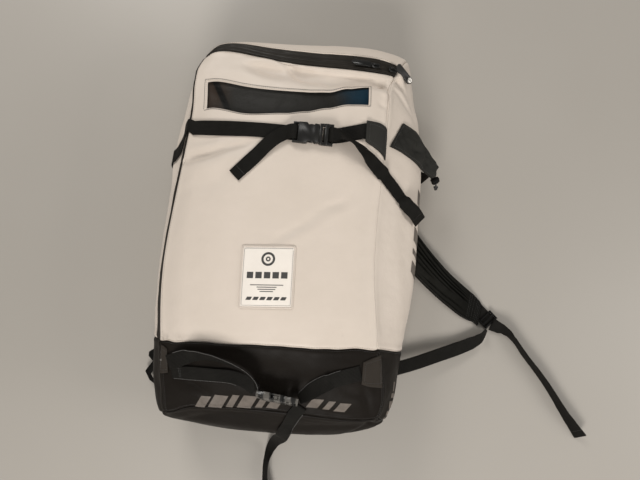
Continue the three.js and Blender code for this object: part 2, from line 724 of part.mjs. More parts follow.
function ringSheet(pairs, over, thick) {
  const points = [];
  for (const [outer, inner] of pairs) {
    points.push(labelPoint(...outer, over), labelPoint(...inner, over));
    points.push(labelPoint(...inner, over + thick), labelPoint(...outer, over + thick));
  }
  const triangles = [];
  pairs.forEach((_, n) => {
    const a = n * 4;
    const b = ((n + 1) % pairs.length) * 4;
    for (let side = 0; side < 4; side += 1) {
      const next = (side + 1) % 4;
      triangles.push([a + side, a + next, b + next], [a + side, b + next, b + side]);
    }
  });
  return solidFrom(points, triangles);
}
add('label_rim', ringSheet(rimNet(), LIE, 1.8), 0xddd5c8, 0.55);

// Side-release buckles.

const BUCKLE = { length: 64.6, split: 42, half: 16.5, thick: 9.6, slot: 13.5 };

const wasm = await Module();
wasm.setup();

function toManifold(geometry) {
  const bare = geometry.clone();
  bare.deleteAttribute('normal');
  bare.deleteAttribute('uv');
  const merged = mergeVertices(bare, 1e-4);
  return new wasm.Manifold(new wasm.Mesh({
    numProp: 3,
    vertProperties: new Float32Array(merged.attributes.position.array),
    triVerts: new Uint32Array(merged.index.array),
  }));
}

function fromManifold(solid) {
  const mesh = solid.getMesh();
  const geometry = new THREE.BufferGeometry();
  geometry.setAttribute('position', new THREE.BufferAttribute(new Float32Array(mesh.vertProperties), 3));
  geometry.setIndex(new THREE.BufferAttribute(new Uint32Array(mesh.triVerts), 1));
  geometry.computeVertexNormals();
  return geometry;
}

function block(x0, x1, y0, y1, z0, z1) {
  return toManifold(new THREE.BoxGeometry(x1 - x0, y1 - y0, z1 - z0)
    .translate((x0 + x1) / 2, (y0 + y1) / 2, (z0 + z1) / 2));
}

function plate(outline, z0, z1) {
  const shape = new THREE.Shape(outline.map(([x, y]) => new THREE.Vector2(x, y)));
  const geometry = new THREE.ExtrudeGeometry(shape, { depth: z1 - z0, bevelEnabled: false });
  return toManifold(geometry.translate(0, 0, z0));
}

const mirrored = (half) => [...half, ...half.map(([x, y]) => [x, -y]).reverse()];

function buckleSocket() {
  const { half, thick, slot, split } = BUCKLE;
  const body = mirrored([
    [8.6, 0.001], [8.6, half - 1], [10, half], [22, half],
    [24.5, 13.4], [33, 13.4], [35.5, 15.6], [split, 14.6],
  ]);
  let solid = plate(body, 0, thick);
  for (const side of [-1, 1]) {
    const y0 = side > 0 ? slot : -half;
    const y1 = side > 0 ? half : -slot;
    solid = solid.add(block(0, 12, y0, y1, 1, thick - 1.6));
    solid = solid.subtract(block(22.5, split + 1, side > 0 ? 8.4 : -17, side > 0 ? 17 : -8.4, 2.4, thick - 2.4)
      .subtract(block(34.5, split + 2, side > 0 ? 13.2 : -18, side > 0 ? 18 : -13.2, 0, thick)));
  }
  return solid.add(block(0, 3, -half, half, 4, thick - 2));
}

function bucklePlug() {
  const { half, thick, slot, split, length } = BUCKLE;
  const start = split + 0.5;
  let solid = block(start, start + 4.5, -half, half, 0.6, thick - 0.6)
    .add(block(start + 8.5, start + 14, -half - 0.6, half + 0.6, 0.6, thick - 0.8))
    .add(block(length - 3, length, -half - 0.6, half + 0.6, 4, thick - 2));
  for (const side of [-1, 1]) {
    const y0 = side > 0 ? slot : -half - 0.6;
    const y1 = side > 0 ? half + 0.6 : -slot;
    solid = solid.add(block(start + 4, length, y0, y1, 1, thick - 1.6));
    const arm = [[start + 1, 9], [start + 1, 12.8], [34, 12.8], [31.5, 15], [26.5, 15], [24, 12], [24, 9]];
    solid = solid.add(plate(arm.map(([x, y]) => [x, y * side]), 2.8, thick - 2.8));
  }
  return solid;
}

function placed(solid, spin, bank, at) {
  return fromManifold(solid)
    .translate(-BUCKLE.length / 2, 0, 0)
    .rotateX(radians(bank))
    .rotateZ(radians(spin))
    .translate(at.x, at.y, at.z);
}

const upperBuckle = V(29.6, 153.2, 208.2);
add('upper_buckle_socket', placed(buckleSocket(), -1.2, 0, upperBuckle), 0x222222, 0.4);
add('upper_buckle_plug', placed(bucklePlug(), -1.2, 0, upperBuckle), 0x1f1f1f, 0.4);

const lowerBuckle = V(8, -259, 202);
add('lower_buckle_socket', placed(buckleSocket(), -7, 70, lowerBuckle), 0x2c2b2b, 0.35);
add('lower_buckle_plug', placed(bucklePlug(), -7, 70, lowerBuckle), 0x2c2b2b, 0.35);

// Shoulder strap on the floor.

// Rows of the pad: upper edge u, lower edge l, own thickness in the middle.
const PAD = [
  { ux: 209, uy: 72, lx: 208, ly: -22, thick: 17 },
  { ux: 219, uy: 61, lx: 218, ly: -30, thick: 12 },
  { ux: 231, uy: 47, lx: 229, ly: -40, thick: 13 },
  { ux: 246, uy: 31, lx: 245, ly: -52, thick: 14 },
  { ux: 266, uy: 8, lx: 262, ly: -67, thick: 14 },
  { ux: 285, uy: -13, lx: 280, ly: -82, thick: 14 },
  { ux: 305, uy: -33, lx: 299, ly: -97, thick: 13 },
  { ux: 325, uy: -50, lx: 319, ly: -111, thick: 13 },
  { ux: 343, uy: -64, lx: 337, ly: -123, thick: 12 },
  { ux: 360, uy: -77, lx: 352, ly: -130, thick: 11 },
  { ux: 374, uy: -90, lx: 365, ly: -134, thick: 9 },
  { ux: 380.5, uy: -98, lx: 373, ly: -140, thick: 7 },
];
// Share of the pad's thickness across it, with its lengthwise creases.
const PAD_RIDGES = [0.3, 0.82, 0.66, 0.95, 0.72, 1, 0.74, 0.86, 0.3];

function underAt(x, y) {
  const hit = hitFrom(V(x, y, 0.2), V(0, 0, 1));
  return hit ? hit.point.z : 1000;
}

const padColumns = PAD_RIDGES.length - 1;
const padNet = PAD.map((row) => PAD_RIDGES.map((_, c) => {
  const t = c / padColumns;
  return V(mix(row.ux, row.lx, t), mix(row.uy, row.ly, t), 0);
}));
const padThick = (r, c) => {
  const row = Math.round(r * (PAD.length - 1));
  const column = Math.round(c * padColumns);
  const point = padNet[row][column];
  return Math.min(PAD[row].thick * PAD_RIDGES[column], underAt(point.x, point.y) - 0.5);
};
add('shoulder_pad', sheetOn(padNet, padThick), 0x1e1e1e, 0.8);

const LOCK = { x: 392.8, y: -126.4, turn: -42.7, length: 20, half: 15.5 };
function ladderLock() {
  const { length, half } = LOCK;
  let solid = block(0, 2.6, -half, half, 1.5, 5.5)
    .add(block(7.5, 10.5, -half, half, 2.5, 6.5))
    .add(block(length - 4, length, -half, half, 3.5, 6.5));
  for (const side of [-1, 1]) {
    solid = solid.add(block(0, length, side > 0 ? half - 2.6 : -half, side > 0 ? half : -half + 2.6, 1, 6.5));
  }
  const geometry = fromManifold(solid).translate(-length / 2, 0, 0);
  return geometry.rotateZ(radians(LOCK.turn)).translate(LOCK.x, LOCK.y, 2);
}
add('shoulder_lock', ladderLock(), 0x1c1c1c, 0.4);

addWebbing('shoulder_webbing', [
  { x: 208.8, y: -233.8, z: 27, bank: 0 },
  { x: 250, y: -219, z: 25, bank: 0 },
  { x: 293, y: -202, z: 20, bank: 0 },
  { x: 330, y: -187.5, z: 14, bank: 0 },
  { x: 356, y: -176, z: 11, bank: 10, step: 10 },
  { x: 373, y: -165.5, z: 12.5, bank: 30, step: 8 },
  { x: 382.5, y: -154.5, z: 14, bank: 52, step: 6 },
  { x: 386.5, y: -145.5, z: 14.5, bank: 62, step: 5 },
], { step: 18 });

addWebbing('shoulder_tail', [
  { x: 398.8, y: -134.4, z: 9.5, bank: 16, step: 7 },
  { x: 413, y: -140, z: 10, bank: 34, step: 7 },
  { x: 427, y: -146, z: 11, bank: 56, step: 7 },
  { x: 439, y: -156, z: 12.2, bank: 74, step: 7 },
  { x: 450, y: -168, z: 12.4, bank: 76, step: 8 },
  { x: 467, y: -190, z: 11.9, bank: 68 },
  { x: 488, y: -214, z: 11.4, bank: 64 },
  { x: 509, y: -240, z: 11.3, bank: 63 },
  { x: 529, y: -268, z: 11.2, bank: 62 },
  { x: 542, y: -287, z: 10.8, bank: 58 },
  { x: 559, y: -309, z: 9.8, bank: 50 },
  { x: 578, y: -333, z: 8.4, bank: 42 },
], { step: 12 });

// Anchors of the left shoulder strap and the small tab.

function flatShape(outline, hole, z, thick) {
  const shape = new THREE.Shape(outline.map(([x, y]) => new THREE.Vector2(x, y)));
  if (hole) shape.holes.push(new THREE.Path(hole.map(([x, y]) => new THREE.Vector2(x, y))));
  return new THREE.ExtrudeGeometry(shape, { depth: thick, bevelEnabled: false }).translate(0, 0, z);
}

// The outline's root follows the gusset, in from the left or right side, at height z.
const leftRoot = (y, z, gap) => [hitFrom(V(-400, y, z), V(1, 0, 0)).point.x - gap, y];
const rightRoot = (y, z, gap) => [hitFrom(V(400, y, z), V(-1, 0, 0)).point.x + gap, y];

add('left_anchor', flatShape([
  leftRoot(-246, 12, 1), leftRoot(-265, 12, 1), leftRoot(-285, 12, 1),
  [-243, -299], [-254, -292], [-264, -276], [-261, -270], [-249, -252], [-236, -246],
], [[-249, -274], [-253, -281], [-248, -288], [-243, -284]], 9, 3), WEB_COLOR, 0.8);

add('left_anchor_web', flatShape([
  leftRoot(-224, 42, 0.9), leftRoot(-252, 42, 0.9),
  [-243, -250], [-251, -242], [-251, -234], [-241, -227],
], null, 38, 3.2), WEB_COLOR, 0.8);

add('left_tab', flatShape([
  leftRoot(146, 68, 2.9), leftRoot(119, 68, 2.9),
  [-228, 120.5], [-235.5, 121.5], [-234, 130], [-229, 141],
], null, 64, 2.8), WEB_COLOR, 0.8);

// Cord flap, triangle, drawcord and its lock.

// Rows of the flap: high edge h, low edge l. over: laid on the gusset, else heights hz and lz.
const FLAP = [
  { hx: 178, hy: 198, lx: 157.5, ly: 150, over: 1 },
  { hx: 190, hy: 197, lx: 170, ly: 150.5, over: 1 },
  { hx: 203, hy: 195, lx: 184, ly: 152, over: 1.4 },
  { hx: 215, hy: 192, lx: 197, ly: 153, hz: 122, lz: 146 },
  { hx: 228, hy: 185, lx: 208, ly: 152, hz: 108, lz: 134 },
  { hx: 241, hy: 175, lx: 220, ly: 147, hz: 96, lz: 118 },
  { hx: 253, hy: 163, lx: 232, ly: 139, hz: 85, lz: 102 },
  { hx: 262, hy: 151, lx: 243, ly: 131, hz: 76, lz: 88 },
];
const flapColumns = 4;
const flapNet = FLAP.map((row) => {
  const line = [];
  for (let c = 0; c <= flapColumns; c += 1) {
    const t = c / flapColumns;
    const x = mix(row.hx, row.lx, t);
    const y = mix(row.hy, row.ly, t);
    line.push(V(x, y, row.over ? topAt(x, y) + row.over : mix(row.hz, row.lz, t)));
  }
  return line;
});
seat(flapNet);
const flapThick = (r, c) => 2.6 + (5.5 * Math.min(1, r * 1.6)) * Math.sin(Math.PI * c) ** 0.8;
add('cord_flap', sheetOn(flapNet, flapThick), 0x35342f, 0.85);

add('cord_flap_back', flatShape([
  rightRoot(148, 60, 0.7), [247, 141], [252, 136.5], [237, 121.5], rightRoot(125, 60, 0.7),
], null, 58, 2), WEB_COLOR, 0.8);

const CORD = { radius: 1.5, lockRadius: 7, lockLength: 15 };
const cordPath = new THREE.CatmullRomCurve3([
  V(252.6, 142.1, 79.8), V(256.4, 133, 77), V(259, 126, 74), V(262.5, 116, 68), V(263.5, 110, 63),
]);

function tubeAlong(path, radius, sides, steps) {
  const circle = new THREE.Shape();
  for (let n = 0; n < sides; n += 1) {
    const angle = n / sides * Math.PI * 2;
    const [x, y] = [Math.cos(angle) * radius, Math.sin(angle) * radius];
    if (n === 0) circle.moveTo(x, y);
    else circle.lineTo(x, y);
  }
  circle.closePath();
  return new THREE.ExtrudeGeometry(circle, { steps, extrudePath: path, bevelEnabled: false });
}

const knot = toManifold(new THREE.SphereGeometry(3, 8, 6).translate(263.4, 109.6, 62.6));
add('drawcord', fromManifold(toManifold(tubeAlong(cordPath, CORD.radius, 8, 10)).add(knot)), 0x191919, 0.7);

function cordLock() {
  const { lockRadius: r, lockLength: l } = CORD;
  const profile = [[0, -l / 2], [r * 0.7, -l / 2], [r, -l * 0.32], [r, l * 0.2], [r * 0.78, l * 0.3],
    [r * 0.78, l * 0.42], [r * 0.5, l / 2], [0, l / 2]];
  const body = new THREE.LatheGeometry(profile.map(([x, y]) => new THREE.Vector2(x, y)), 14)
    .rotateZ(radians(-62))
    .rotateX(radians(18))
    .translate(259, 126, 74);
  const through = new THREE.LineCurve3(V(255, 136, 78.8), V(263.4, 115.2, 68.6));
  const hole = tubeAlong(through, CORD.radius + 0.6, 10, 1);
  return fromManifold(toManifold(body).subtract(toManifold(hole)));
}
add('cord_lock', cordLock(), 0x232323, 0.4);

// Zip sliders and pulls.

function onZip(geometry, k, lift) {
  const at = gussetPoint(k, 0.5, lift);
  const along = gussetPoint(k + 0.3, 0.5, lift).sub(gussetPoint(k - 0.3, 0.5, lift)).normalize();
  const up = gussetPoint(k, 0.5, lift + 5).sub(at).normalize();
  const basis = new THREE.Matrix4().makeBasis(along, up.clone().cross(along), up);
  return geometry.clone().applyMatrix4(basis.setPosition(at));
}

function sliderBody() {
  const outline = [[-7, -4], [-2, -5.5], [5, -4.5], [7, -2.5], [7, 2.5], [5, 4.5], [-2, 5.5], [-7, 4]];
  const body = plate(outline, 0, 3);
  const bridge = block(-5, 5, -1.4, 1.4, 2.5, 5.6).subtract(block(-3.2, 3.2, -3, 3, 2.8, 4.2));
  return fromManifold(body.add(bridge));
}

add('slider_left', onZip(sliderBody(), topRight - 2.05, 1), 0x191919, 0.35);
add('slider_right', onZip(sliderBody(), topRight - 0.62, 1.2), 0x191919, 0.35);

function pullShape(length, half, hole) {
  const shape = new THREE.Shape();
  shape.moveTo(0, -half * 0.6);
  shape.lineTo(3, -half);
  shape.lineTo(length - half * 0.8, -half);
  shape.lineTo(length, -half * 0.4);
  shape.lineTo(length, half * 0.4);
  shape.lineTo(length - half * 0.8, half);
  shape.lineTo(3, half);
  shape.lineTo(0, half * 0.6);
  if (hole) shape.holes.push(new THREE.Path().absarc(length - half, 0, hole, 0, Math.PI * 2, true));
  return new THREE.ExtrudeGeometry(shape, { depth: 2.4, bevelEnabled: false, curveSegments: 6 });
}

const leftPull = pullShape(34, 6, 0).rotateZ(Math.PI).translate(-7.4, 0, 0);
add('pull_left', onZip(leftPull, topRight - 2.05, 3), 0x121212, 0.3);

// The right pull hangs over the corner, its eyelet at the free end.
const pullFrom = V(161, 296.5, 171);
const pullTo = V(190, 279.5, 145);
const pullAlong = pullTo.clone().sub(pullFrom);
const pullLength = pullAlong.length();
const pullBasis = new THREE.Matrix4();
{
  const along = pullAlong.clone().normalize();
  const face = V(0.05, 0.05, 1);
  const side = face.clone().cross(along).normalize();
  pullBasis.makeBasis(along, side, along.clone().cross(side)).setPosition(pullFrom);
}
add('pull_right', pullShape(pullLength, 6.5, 3.2).applyMatrix4(pullBasis), 0x23211f, 0.6);
const eyelet = new THREE.TorusGeometry(3.6, 1.1, 5, 12).translate(pullLength - 6.5, 0, 2.4 + 1.4);
add('pull_eyelet', eyelet.applyMatrix4(pullBasis), 0xc9c9c6, 0.25, 0.9);

export default kite;
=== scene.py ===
# Packed kite backpack bag: its cloth, webbing, stitching and fittings round the CAD frame.
# Tables are in millimetres and degrees in the part's frame. Meshes are in metres.
import math
import bpy
import numpy as np
from mathutils import Matrix, Vector
from mathutils.bvhtree import BVHTree


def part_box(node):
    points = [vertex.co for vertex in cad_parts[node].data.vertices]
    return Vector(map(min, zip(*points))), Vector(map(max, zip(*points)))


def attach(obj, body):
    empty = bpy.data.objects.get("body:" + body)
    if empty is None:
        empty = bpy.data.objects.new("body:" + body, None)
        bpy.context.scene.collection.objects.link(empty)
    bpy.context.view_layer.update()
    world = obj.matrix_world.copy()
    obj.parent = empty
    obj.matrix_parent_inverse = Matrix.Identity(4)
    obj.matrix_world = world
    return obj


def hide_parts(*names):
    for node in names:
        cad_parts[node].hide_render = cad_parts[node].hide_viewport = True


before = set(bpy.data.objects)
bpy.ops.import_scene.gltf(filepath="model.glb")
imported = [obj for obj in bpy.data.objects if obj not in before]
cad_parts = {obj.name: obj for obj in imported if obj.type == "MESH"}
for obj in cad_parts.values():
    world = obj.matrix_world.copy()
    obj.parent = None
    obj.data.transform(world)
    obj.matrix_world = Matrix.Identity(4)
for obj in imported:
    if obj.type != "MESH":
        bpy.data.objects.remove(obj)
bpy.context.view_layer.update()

MM = 0.001
UP = np.array([0, 0, 1.0])
MATERIALS = {}

# Camera at the photograph's view, from above.
EYE = (59.5, -87.4, 960.0)
PITCH, ROLL = math.radians(5.5), math.radians(4.5)
FOCAL_PX, WIDTH_PX, SENSOR_MM = 481.0, 640, 36


def linked(obj):
    bpy.context.scene.collection.objects.link(obj)
    return obj


def make_camera():
    right = Vector((math.cos(ROLL), math.sin(ROLL), 0))
    level = Vector((-math.sin(ROLL), math.cos(ROLL), 0))
    ahead = level * math.sin(PITCH) - Vector((0, 0, math.cos(PITCH)))
    up = level * math.cos(PITCH) + Vector((0, 0, math.sin(PITCH)))
    data = bpy.data.cameras.new("camera")
    data.sensor_fit = "HORIZONTAL"
    data.sensor_width = SENSOR_MM
    data.lens = FOCAL_PX / WIDTH_PX * SENSOR_MM
    data.clip_start, data.clip_end = 0.02, 50
    camera = linked(bpy.data.objects.new("camera", data))
    axes = Matrix((right, up, -ahead)).transposed()
    camera.matrix_world = Matrix.Translation(Vector(EYE) * MM) @ axes.to_4x4()
    bpy.context.scene.camera = camera


make_camera()

# Small helpers.


def mix(a, b, t):
    return a + (b - a) * t


def unit(v):
    return v / np.maximum(np.linalg.norm(v, axis=-1, keepdims=True), 1e-9)


def smooth(t):
    t = np.clip(t, 0, 1)
    return t * t * (3 - 2 * t)


def bell(distance, width):
    return np.exp(-((distance / width) ** 2))


def mound(dx, dy, turn, long, wide):
    """A soft mound of height 1, turned by degrees."""
    c, s = math.cos(math.radians(turn)), math.sin(math.radians(turn))
    u, v = (dx * c + dy * s) / long, (dy * c - dx * s) / wide
    return np.exp(-u * u - v * v)


def eased(table, value, column):
    """A column of a table at values of its first column, eased from row to row."""
    rows = np.array(table, float)
    n = np.searchsorted(rows[1:-1, 0], value)
    t = (value - rows[n, 0]) / (rows[n + 1, 0] - rows[n, 0])
    return mix(rows[n, column], rows[n + 1, column], smooth(t))


CELLS = 32
LATTICE = np.random.RandomState(7).rand(CELLS, CELLS, CELLS)


def noise(p, size, octaves=2):
    """Smooth noise from -1 to 1 on points in mm, with features of this size."""
    p = np.asarray(p, float) / size
    total, reach = np.zeros(p.shape[:-1]), 0
    for octave in range(octaves):
        q = p * 2**octave + 11.3 * octave
        cell = np.floor(q).astype(int)
        f = smooth(q - cell)
        value = 0
        for step in np.ndindex(2, 2, 2):
            weight = np.prod(np.where(step, f, 1 - f), axis=-1)
            value = value + weight * LATTICE[tuple(np.moveaxis((cell + step) % CELLS, -1, 0))]
        total = total + (value * 2 - 1) / 2**octave
        reach += 1 / 2**octave
    return total / reach


def curve_at(points, places, closed=False):
    """Centripetal Catmull-Rom curve through points, at places counted in points."""
    points, places = np.asarray(points, float), np.asarray(places, float)
    index = np.floor(places).astype(int)
    if closed:
        p0, p1, p2, p3 = [points[(index + n) % len(points)] for n in (-1, 0, 1, 2)]
    else:
        index = np.clip(index, 0, len(points) - 2)
        ends = np.vstack([2 * points[0] - points[1], points, 2 * points[-1] - points[-2]])
        p0, p1, p2, p3 = [ends[index + n] for n in range(4)]
    w = (places - index)[:, None]
    d0, d1, d2 = [
        np.maximum(np.linalg.norm(b - a, axis=1, keepdims=True), 1e-8) ** 0.5
        for a, b in ((p0, p1), (p1, p2), (p2, p3))
    ]
    t1 = ((p1 - p0) / d0 - (p2 - p0) / (d0 + d1) + (p2 - p1) / d1) * d1
    t2 = ((p2 - p1) / d1 - (p3 - p1) / (d1 + d2) + (p3 - p2) / d2) * d1
    c2 = -3 * p1 + 3 * p2 - 2 * t1 - t2
    c3 = 2 * p1 - 2 * p2 + t1 + t2
    return p1 + t1 * w + c2 * w**2 + c3 * w**3


def arc(points, axis=0):
    """Length along a line, or along one axis of a net, up to each point."""
    step = np.linalg.norm(np.diff(points, axis=axis), axis=-1)
    pad = [(0, 0)] * step.ndim
    pad[axis] = (1, 0)
    return np.cumsum(np.pad(step, pad), axis=axis)


def points_at(line, run, places):
    """Points of a line at places along it, where run gives each point's own place."""
    return np.stack([np.interp(places, run, column) for column in np.transpose(line)], -1)


def grid_normals(net):
    return unit(np.cross(np.gradient(net, axis=0), np.gradient(net, axis=1)))


def ring_normals(band):
    around = np.roll(band, -1, axis=0) - np.roll(band, 1, axis=0)
    return unit(np.cross(around, np.gradient(band, axis=1)))


def grid_faces(rows, columns, skip=None, offset=0, around=False, wrap=False):
    """Faces of a net of points. around joins its last row to the first, and wrap its columns."""
    faces = []
    for r in range(rows if around else rows - 1):
        a, b = offset + r * columns, offset + (r + 1) % rows * columns
        for c in range(columns if wrap else columns - 1):
            if not (skip and skip(r, c)):
                d = (c + 1) % columns
                faces.append((a + c, b + c, b + d, a + d))
    return faces


def flipped(faces):
    return [f[::-1] for f in faces]


def border(net, inset=0):
    """The closed line round a net, some rows inside its edge."""
    inner = net[inset : -inset or None, inset : -inset or None]
    return np.concatenate([inner[:-1, 0], inner[-1, :-1], inner[::-1][:-1, -1], inner[0, ::-1]])


def mesh_object(name, points, faces, uv=None):
    """A mesh from points in mm. uv holds one pair for each point, in metres."""
    mesh = bpy.data.meshes.new(name)
    mesh.from_pydata((np.asarray(points) * MM).tolist(), [], [list(f) for f in faces])
    if uv is not None:
        layer = mesh.uv_layers.new(name="UVMap")
        loops = np.zeros(len(mesh.loops), int)
        mesh.loops.foreach_get("vertex_index", loops)
        layer.data.foreach_set("uv", np.asarray(uv, float)[loops].ravel())
    mesh.polygons.foreach_set("use_smooth", [True] * len(mesh.polygons))
    mesh.update()
    return linked(bpy.data.objects.new(name, mesh))


def dress(obj, slot, node=None, look=None):
    """Gives a piece the material of its look, or else of its slot, and its body, and hides the CAD node that
    it stands for.
    """
    obj.data.materials.clear()
    obj.data.materials.append(MATERIALS[look or slot])
    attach(obj, "root")
    if node:
        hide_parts(node)
    return obj


# The skin of the filled bag.

FINE = 12  # rows of the net for each step of the tables
BACK_SEAM_Z = 6
CROWN = 11
CLOTH = 1.6
BOOT_LIFT, WINDOW_DEPTH = 0.35, 1.2  # the boot lies over the cream cloth, the window behind it
WIDEST_ROW, DEPTH_ROWS = 4, 8

# Stations round the bag, clockwise from above, from the lower left corner: front seam (x, y, z),
# widest line (x, y, z), back seam (x, y), steepness at the front seam, steps to the next one,
# how far the cloth leads outward before it falls, width of the zip.
STATIONS = [
    ((-182, -315, 128), (-199, -327, 86), (-154, -288), 0.32, 1, 0.42, 30),
    ((-187, -278, 144), (-215, -274, 90), (-166, -258), 0.4, 3, 0.42, 34),
    ((-196, -196, 158), (-221, -196, 94), (-170, -196), 0.42, 4, 0.42, 36),
    ((-202, -73, 167), (-225, -73, 96), (-172, -73), 0.42, 8, 0.42, 29),
    ((-181, 192, 165), (-211, 192, 98), (-168, 192), 0.42, 2, 0.42, 9),
    ((-183, 243, 163), (-200, 243, 102), (-166, 243), 0.42, 1, 0.42, 6),
    ((-181, 270, 159), (-195, 275, 105), (-162, 270), 0.4, 1, 0.42, 8),
    ((-170, 291.5, 155), (-181, 308, 106), (-148, 292), 0.34, 1, 0.5, 15),
    ((-148, 304, 160), (-150, 333, 105), (-126, 303), 0.12, 5, 0.74, 23),
    ((-18, 283, 179), (-6, 341.5, 104), (10, 306), 0.06, 5, 0.8, 28),
    ((124, 276, 182), (128, 343, 99), (148, 303), 0.06, 2, 0.8, 29),
    ((157, 274, 174), (187, 334, 96), (180, 294), 0.24, 1, 0.6, 28),
    ((153, 262, 178), (200, 290, 96), (192, 270), 0.28, 1, 0.42, 24),
    ((149, 249, 182), (207, 250, 96), (194, 246), 0.3, 2, 0.42, 24),
    ((149, 216, 188), (217, 211, 96), (196, 212), 0.3, 8, 0.42, 24),
    ((142, -42, 192), (226, -42, 94), (200, -42), 0.3, 4, 0.42, 24),
    ((158, -179, 187), (209, -189, 92), (194, -180), 0.3, 3, 0.42, 24),
    ((173, -255, 172), (203, -260, 84), (186, -254), 0.3, 1, 0.42, 24),
    ((166, -292, 152), (189, -311, 80), (168, -286), 0.26, 2, 0.42, 24),
    ((131, -298, 158), (134, -335, 81), (128, -300), 0.24, 5, 0.42, 24),
    ((0, -292, 165), (0, -347, 83), (8, -303), 0.24, 5, 0.42, 24),
    ((-130, -297, 155), (-138, -340, 86), (-124, -300), 0.26, 1, 0.42, 24),
]
STEPS = [row[4] for row in STATIONS]
AROUND = sum(STEPS)
ALONG, ACROSS = sum(STEPS[0:7]), sum(STEPS[7:11])
BOOT_ROW, WINDOW_LOW, WINDOW_HIGH = (sum(STEPS[0:n]) for n in (2, 4, 5))
WINDOW_LEFT, WINDOW_RIGHT = 1, ACROSS - 2
# Places round the loop of the upright seams.
LEFT_BOOT, TOP_LEFT, TOP_RIGHT = BOOT_ROW, ALONG, ALONG + ACROSS
BOTTOM_RIGHT = TOP_RIGHT + ALONG
RIGHT_BOOT = BOTTOM_RIGHT - BOOT_ROW

# Sag of the front's rows: place across (0 left, 1 right), window's high edge, low edge, boot seam.
SAG = [
    (0, 8, 10, 0), (0.1, 15, 15, 13.5), (0.3, 19, 23.5, 13), (0.5, 17, 17.5, 7.5), (0.6, 17, 14, 5.5),
    (0.7, 15.5, 8, 3.5), (0.8, 6.5, 1, 0), (0.9, -0.5, 0.5, -4), (1, 0, 0, 0),
]

# Soft hollows of the front panel: x, y, turn, half length, half width, depth.
HOLLOWS = [
    (52, 268, -4, 85, 12, 14), (-78, 268, 4, 52, 16, -4.5), (-60, 266, -10, 36, 11, 10),
    (-146, 134, 12, 46, 18, 7), (20, 30, 35, 120, 45, 3), (-60, -205, 0, 140, 30, 3),
]


def bezier(p0, p1, p2, p3, t):
    t = t[:, None]
    return (1 - t) ** 3 * p0 + 3 * (1 - t) ** 2 * t * p1 + 3 * (1 - t) * t**2 * p2 + t**3 * p3


def gusset_band(fine):
    """Net of the sides: round the bag, and down from the front seam to the back seam."""
    places = np.concatenate([row + np.arange(n * fine) / (n * fine) for row, n in enumerate(STEPS)])
    columns = zip(*[(s[0], s[1], (*s[2], BACK_SEAM_Z), (s[3], s[5], s[6])) for s in STATIONS])
    loops = [curve_at(column, places, True) for column in columns]
    t = np.linspace(0, 1, 65)
    depth = np.linspace(0, DEPTH_ROWS, DEPTH_ROWS * fine + 1)
    high = depth <= WIDEST_ROW
    band = np.zeros((len(places), len(depth), 3))
    for k, (f, m, b, (steep, lead, zip_width)) in enumerate(zip(*loops)):
        out, under = (m - f) * (1, 1, 0), (m - b) * (1, 1, 0)
        fall = UP * (f[2] - m[2])
        upper = bezier(f, f + out * lead - fall * steep, m + fall * 0.5, m, t)
        lower = bezier(m, m - UP * (m[2] - b[2]) * 0.6, b + under * 0.55, b, t)
        run, low_run = arc(upper), arc(lower)
        edge = min(zip_width / run[-1], 0.45)
        share = np.where(depth <= 1, depth * edge, mix(edge, 1, (depth - 1) / 3))
        band[k, high] = points_at(upper, run, share[high] * run[-1])
        band[k, ~high] = points_at(lower, low_run, (depth[~high] - 4) / 4 * low_run[-1])
    return band


def four_sided(band, row, fine):
    """Coons net [across, along] inside one row of the band, and each point's share of both ways."""
    long, wide = ALONG * fine, ACROSS * fine
    ring = band[:, row]
    left, top = ring[0 : long + 1], ring[long : long + wide + 1]
    right = ring[long + wide : 2 * long + wide + 1][::-1]
    bottom = ring[-np.arange(wide + 1)]
    shares = [arc(line) / arc(line)[-1] for line in (left, top, right, bottom)]
    i, j = np.indices((wide + 1, long + 1)) / np.reshape((wide, long), (2, 1, 1))
    s = mix(shares[3][:, None], shares[1][:, None], j)
    t = mix(shares[0][None, :], shares[2][None, :], i)
    u, v = s[..., None], t[..., None]
    net = (
        left[None] * (1 - u) + right[None] * u + bottom[:, None] * (1 - v) + top[:, None] * v
        - left[0] * (1 - u) * (1 - v) - right[0] * u * (1 - v)
        - left[-1] * (1 - u) * v - right[-1] * u * v
    )
    return net, s, t


def crowned(net, s, t, fine):
    """The front net, raised by the filling, with the sagging rows of the window and the boot."""
    i, j = np.indices(s.shape) / fine
    rise = CROWN * (1 - np.abs(2 * s - 1) ** 2.2) * (1 - np.abs(2 * t - 1) ** 3.2)
    high = np.maximum(0, 1 - np.abs(j - WINDOW_HIGH) / 2)
    low = np.maximum(0, 1 - np.abs(j - WINDOW_LOW) / 5) * (1 - high) * (j < WINDOW_HIGH)
    boot = np.maximum(0, 1 - np.abs(j - BOOT_ROW) / 3)
    places = np.linspace(0, 1, 201)
    drop = sum(near * np.interp(s, places, eased(SAG, places, column))
               for column, near in ((1, high), (2, low), (3, boot)))
    fade = smooth(np.minimum(np.minimum(i, ACROSS - i), np.minimum(j, ALONG - j)))
    net = net.copy()
    net[..., 1] -= drop * fade
    hollow = sum(deep * mound(net[..., 0] - x, net[..., 1] - y, turn, long, wide)
                 for x, y, turn, long, wide, deep in HOLLOWS)
    net[..., 2] += rise - hollow * fade
    return net


band = gusset_band(FINE)
front = crowned(*four_sided(band, 0, FINE), FINE)
band_out, front_out = ring_normals(band), grid_normals(front)
LOOP = len(band)

# Relief of the cloth: seams, puckers, soft buckles and creases.

